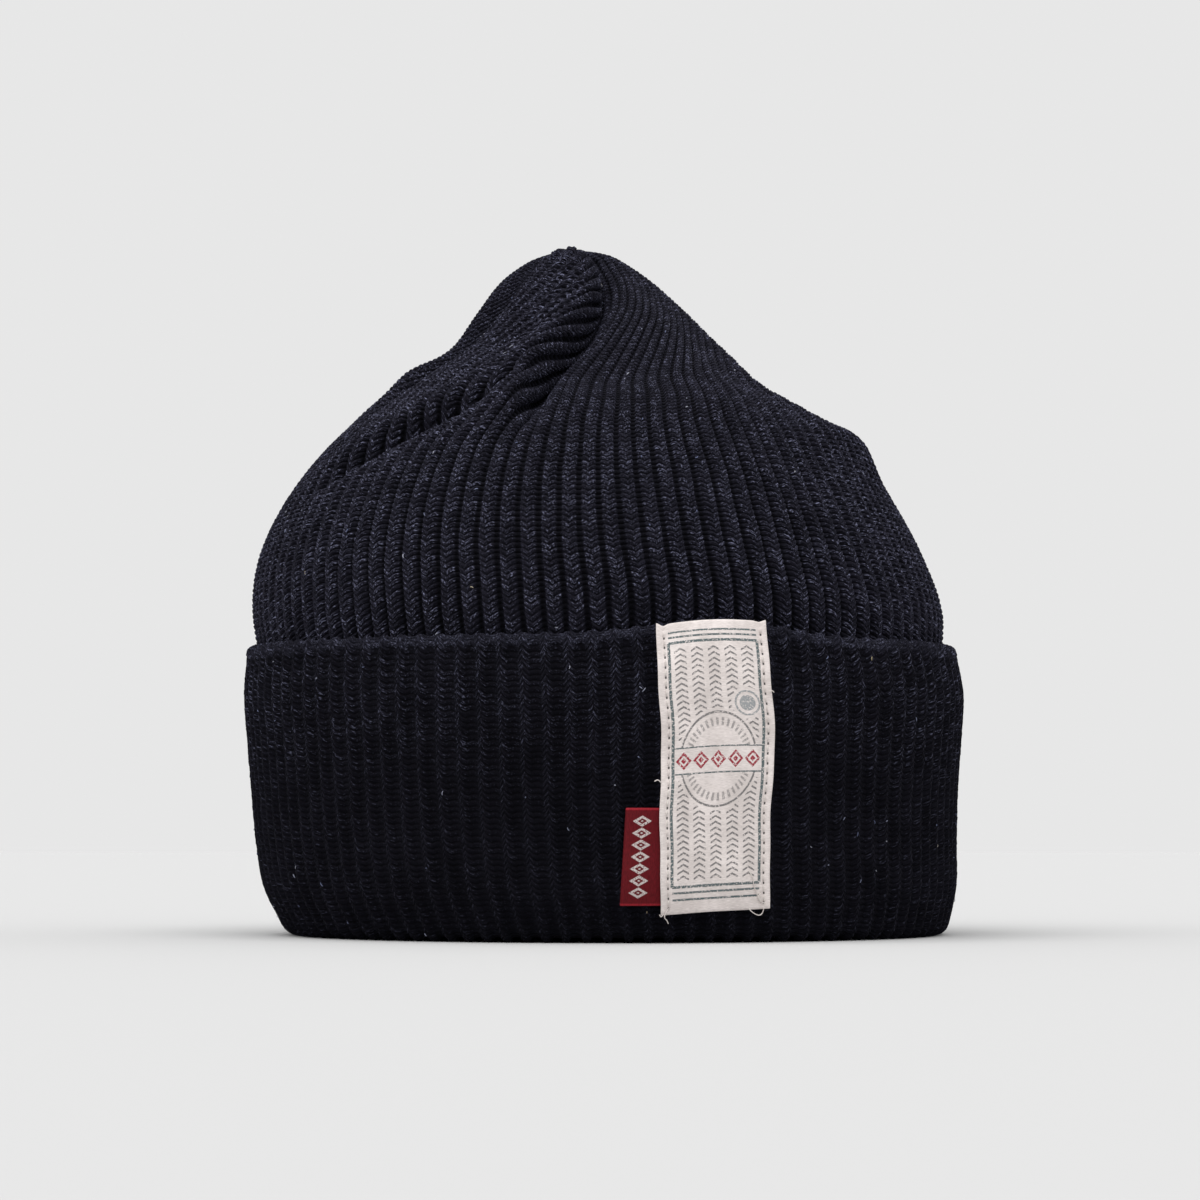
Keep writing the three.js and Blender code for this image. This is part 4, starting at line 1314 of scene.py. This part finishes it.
def label_material():
    """Cream satin with a woven frame, chevron columns and a band of red diamonds."""
    g = Graph("cream woven ribbon")
    uv, across, up = g.map("cloth")
    stripes = g.highest(*(g.line(up, place, half) for place, half in CROSS_LINES))
    sides = g.highest(*(g.line(across, place, FRAME_LINE) for place in (FRAME_LEFT, FRAME_RIGHT)))
    frame_lines = g.highest(g.times(g.between(across, FRAME_LEFT, FRAME_RIGHT), stripes),
                            g.times(g.between(up, FRAME_BOTTOM, FRAME_TOP), sides))

    middle = (FRAME_LEFT + FRAME_RIGHT) / 2
    off_middle = g.minus(across, middle)
    off_band = g.minus(up, (BAND_BOTTOM + BAND_TOP_LINE) / 2)
    above = g.size(off_band)
    from_centre = g.length(g.math("DIVIDE", off_middle, RING["across"]),
                           g.math("DIVIDE", off_band, RING["up"]))
    turned = g.times(g.math("ARCTAN2", off_band, off_middle), TICKS["count"])
    ticks = g.times(g.step(g.math("SINE", turned), *TICKS["gap"]),
                    g.line(from_centre, TICKS["at"], TICKS["half"], TICKS["soft"]))
    ring = g.times(g.step(above, *RING["off_band"]), g.highest(
        g.line(from_centre, 1.0, RING["half"], RING["soft"]), g.times(ticks, TICKS["share"])))
    from_roundel = g.length(g.minus(across, ROUNDEL["across"]), g.minus(up, ROUNDEL["up"]))
    roundel = g.highest(g.line(from_roundel, ROUNDEL["ring"], ROUNDEL["half"]),
                        g.below(from_roundel, *ROUNDEL["core"]))

    left, right = FRAME_LEFT + CHEVRONS["inset"], FRAME_RIGHT - CHEVRONS["inset"]
    column_width = (right - left) / CHEVRONS["columns"]
    sideways = g.repeated(across, column_width, left)
    column = g.below(sideways, *(column_width * share for share in CHEVRONS["half_width"]))
    slanted = g.plus(up, g.times(sideways, CHEVRONS["slant"]))
    chevron = g.below(g.repeated(slanted, CHEVRONS["pitch"]), *CHEVRONS["half"])
    clear = g.times(g.step(from_centre, *RING["clear"]), g.step(above, *CHEVRONS["off_band"]),
                    g.step(from_roundel, *ROUNDEL["clear"]))
    foot, top = FRAME_BOTTOM + CHEVRONS["foot"], FRAME_TOP - CHEVRONS["top"]
    chevrons = g.times(column, chevron, g.between(up, foot, top), clear,
                       g.between(across, left, right))

    first = middle - DIAMONDS["count"] / 2 * DIAMONDS["pitch"]
    beside = g.repeated(across, DIAMONDS["pitch"], first)
    taxicab = g.plus(beside, g.times(above, DIAMONDS["squash"]))
    diamond = g.highest(g.line(taxicab, DIAMONDS["ring"], DIAMONDS["line"]),
                        g.below(taxicab, *DIAMONDS["core"]))
    inset = DIAMONDS["inset"]
    diamonds = g.times(diamond, g.between(across, FRAME_LEFT + inset, FRAME_RIGHT - inset),
                       g.below(above, *DIAMONDS["half_band"]))

    weft, warp = g.wave(up, LABEL_WEFT), g.wave(across, WARP)
    slub = g.slub(across, up, *LABEL_SLUB)
    soiled = g.noise(uv, *LABEL_SOIL)
    clean = g.step(g.weighted((slub, soiled), (0.5, 0.5)), *CLEAN_RANGE)
    unbroken = g.unbroken(uv, weft, LABEL_BREAKS)
    soft_lines = g.highest(chevrons, ring)
    color = g.mix(clean, CREAM_SHADED, CREAM)
    color = g.mix(g.times(soft_lines, g.times(unbroken, SOFT_LINE_SHARE)), color, GREY_SOFT)
    color = g.mix(g.times(roundel, g.times(unbroken, ROUNDEL["share"])), color, GREY_BLUE)
    color = g.mix(g.times(diamonds, unbroken), color, LABEL_RED)
    color = g.mix(g.times(frame_lines, unbroken), color, GREY_GREEN)

    margin = g.math("MINIMUM", across, g.minus(LABEL_WIDTH + RIGHT_STITCH_SHIFT, across))
    from_hole = g.minus(STITCH_STEP / 2, g.repeated(up, STITCH_STEP, STITCH_START))
    hole = g.times(g.line(margin, STITCH_INSET, HOLES["half"]),
                   g.below(from_hole, *HOLES["reach"]),
                   g.between(up, HOLES["from"], LABEL_LENGTH - HOLES["short_of_top"]))
    color = g.mix(g.times(hole, HOLES["share"]), color, NEEDLE_HOLE)

    woven = g.highest(frame_lines, soft_lines, roundel, diamonds)
    height = g.weighted((woven, weft, warp, slub), LABEL_RELIEF.values())
    height = g.minus(height, g.times(hole, HOLES["depth"]))
    return g.finish(color, LABEL_SURFACE, {"Sheen Weight": LABEL_SHEEN, **g.bump(height)})


def thread_material():
    g = Graph("cream sewing thread")
    place = g.object_place()
    twist = g.noise(place, *THREAD_TWIST["noise"])
    bump = g.bump(twist, THREAD_TWIST["depth"], THREAD_TWIST["strength"])
    color = g.mix(g.patches(place, *THREAD_TONE), CREAM_SHADED, CREAM_THREAD)
    return g.finish(color, THREAD_SURFACE, bump)


# The tab's column of diamonds: how many, clear of both ends, back from the fold, in mm
TAB_MOTIFS = {"count": 7, "margin": 1.7, "back": 3.9, "stretch": 0.58, "ring": 0.98, "line": 0.33,
              "core": (0.15, 0.3), "half_column": (2.2, 2.4)}
SELVEDGE = (0.45, 0.7)
# Brightness of the streaks: low and high noise, and the brightness at each
TAB_STREAKS = (0.3, 0.7, 0.8, 1.15)


def tab_material():
    """Red ribbon with bright selvedges and a column of small white diamonds."""
    g = Graph("red woven ribbon")
    uv, path, up = g.map("cloth")
    selvedge = g.below(g.math("MINIMUM", up, g.minus(TAB_LENGTH, up)), *SELVEDGE)
    weft, warp = g.wave(up, TAB_WEFT), g.wave(path, WARP)
    slub = g.slub(path, up, *TAB_SLUB)
    margin = TAB_MOTIFS["margin"]
    above = g.repeated(up, (TAB_LENGTH - 2 * margin) / TAB_MOTIFS["count"], margin)
    beside = g.size(g.minus(path, TAB_DEPTH - TAB_MOTIFS["back"]))
    taxicab = g.plus(g.times(beside, TAB_MOTIFS["stretch"]), above)
    diamond = g.highest(g.line(taxicab, TAB_MOTIFS["ring"], TAB_MOTIFS["line"]),
                        g.below(taxicab, *TAB_MOTIFS["core"]))
    motif = g.times(diamond, g.between(up, margin, TAB_LENGTH - margin),
                    g.below(beside, *TAB_MOTIFS["half_column"]))
    unbroken = g.unbroken(uv, weft, TAB_BREAKS)
    tone = g.step(slub, *TAB_STREAKS)
    red = g.mix(selvedge, TAB_RED, TAB_EDGE_RED)
    red = g.mix(1.0, red, g.vector(tone, tone, tone), "MULTIPLY")
    color = g.mix(g.times(motif, unbroken), red, TAB_WHITE)
    height = g.weighted((selvedge, weft, warp, motif), TAB_RELIEF.values())
    return g.finish(color, TAB_SURFACE, g.bump(height))


# Stage: the grey that shows, the floor's own grey, and the camera
SHOWN_GREY = 0.80
FLOOR_GREY = 0.52
FLOOR_HALF = 40.0
SUN_SPREAD = 70
SUN_TILT = (20, -8)
SUN_SLANT = 22
CAMERA_DISTANCE = 950.0
CAMERA_HEIGHT = 22.0
AIM = (-1.0, 0.0, 88.0)
LENS = 108.0


def make_stage():
    mesh = bpy.data.meshes.new("floor")
    corners = [(x * FLOOR_HALF, y * FLOOR_HALF, 0) for x, y in ((-1, -1), (1, -1), (1, 1), (-1, 1))]
    mesh.from_pydata(corners, [], [(0, 1, 2, 3)])
    grey = (FLOOR_GREY, FLOOR_GREY, FLOOR_GREY, 1)
    mesh.materials.append(Graph("floor").finish(grey, FLOOR_SURFACE))
    floor = place_in_scene("floor", mesh)
    world = bpy.data.worlds.new("studio")
    bpy.context.scene.world = world
    world.use_nodes = True
    background = world.node_tree.nodes["Background"]
    background.inputs["Color"].default_value = (SHOWN_GREY, SHOWN_GREY, SHOWN_GREY, 1)
    background.inputs["Strength"].default_value = 1.0
    sun = bpy.data.lights.new("softbox", "SUN")
    sun.angle = math.radians(SUN_SPREAD)
    sun.energy = math.pi * SHOWN_GREY * (1 / FLOOR_GREY - 1) / math.cos(math.radians(SUN_SLANT))
    place_in_scene("softbox", sun).rotation_euler = (*(math.radians(tilt) for tilt in SUN_TILT), 0)


def make_camera():
    camera = bpy.data.cameras.new("camera")
    camera.lens = LENS
    camera.clip_start = 0.01
    camera.clip_end = 200.0
    holder = place_in_scene("camera", camera)
    holder.location = (AIM[0] * MM, -CAMERA_DISTANCE * MM, CAMERA_HEIGHT * MM)
    tilt = math.atan2(AIM[2] - CAMERA_HEIGHT, AIM[1] + CAMERA_DISTANCE)
    holder.rotation_euler = (math.pi / 2 + tilt, 0, 0)
    bpy.context.scene.camera = holder


bpy.context.scene.view_settings.view_transform = "Standard"
make_camera()
make_stage()
make_crown(knit_material("knit right side", crest_at=0.0, yarn_depth=0.5, groove=(0.28, 0.42),
                         valley=0.0, shade=1.0))
make_cuff(knit_material("knit wrong side", crest_at=0.5, yarn_depth=0.42, groove=(0.12, 0.3),
                        valley=0.35, shade=0.62, low_end=(38, 62), edge_at=EDGE_START))
make_flecks(fleck_material())
make_label(label_material(), thread_material())
make_tab(tab_material())
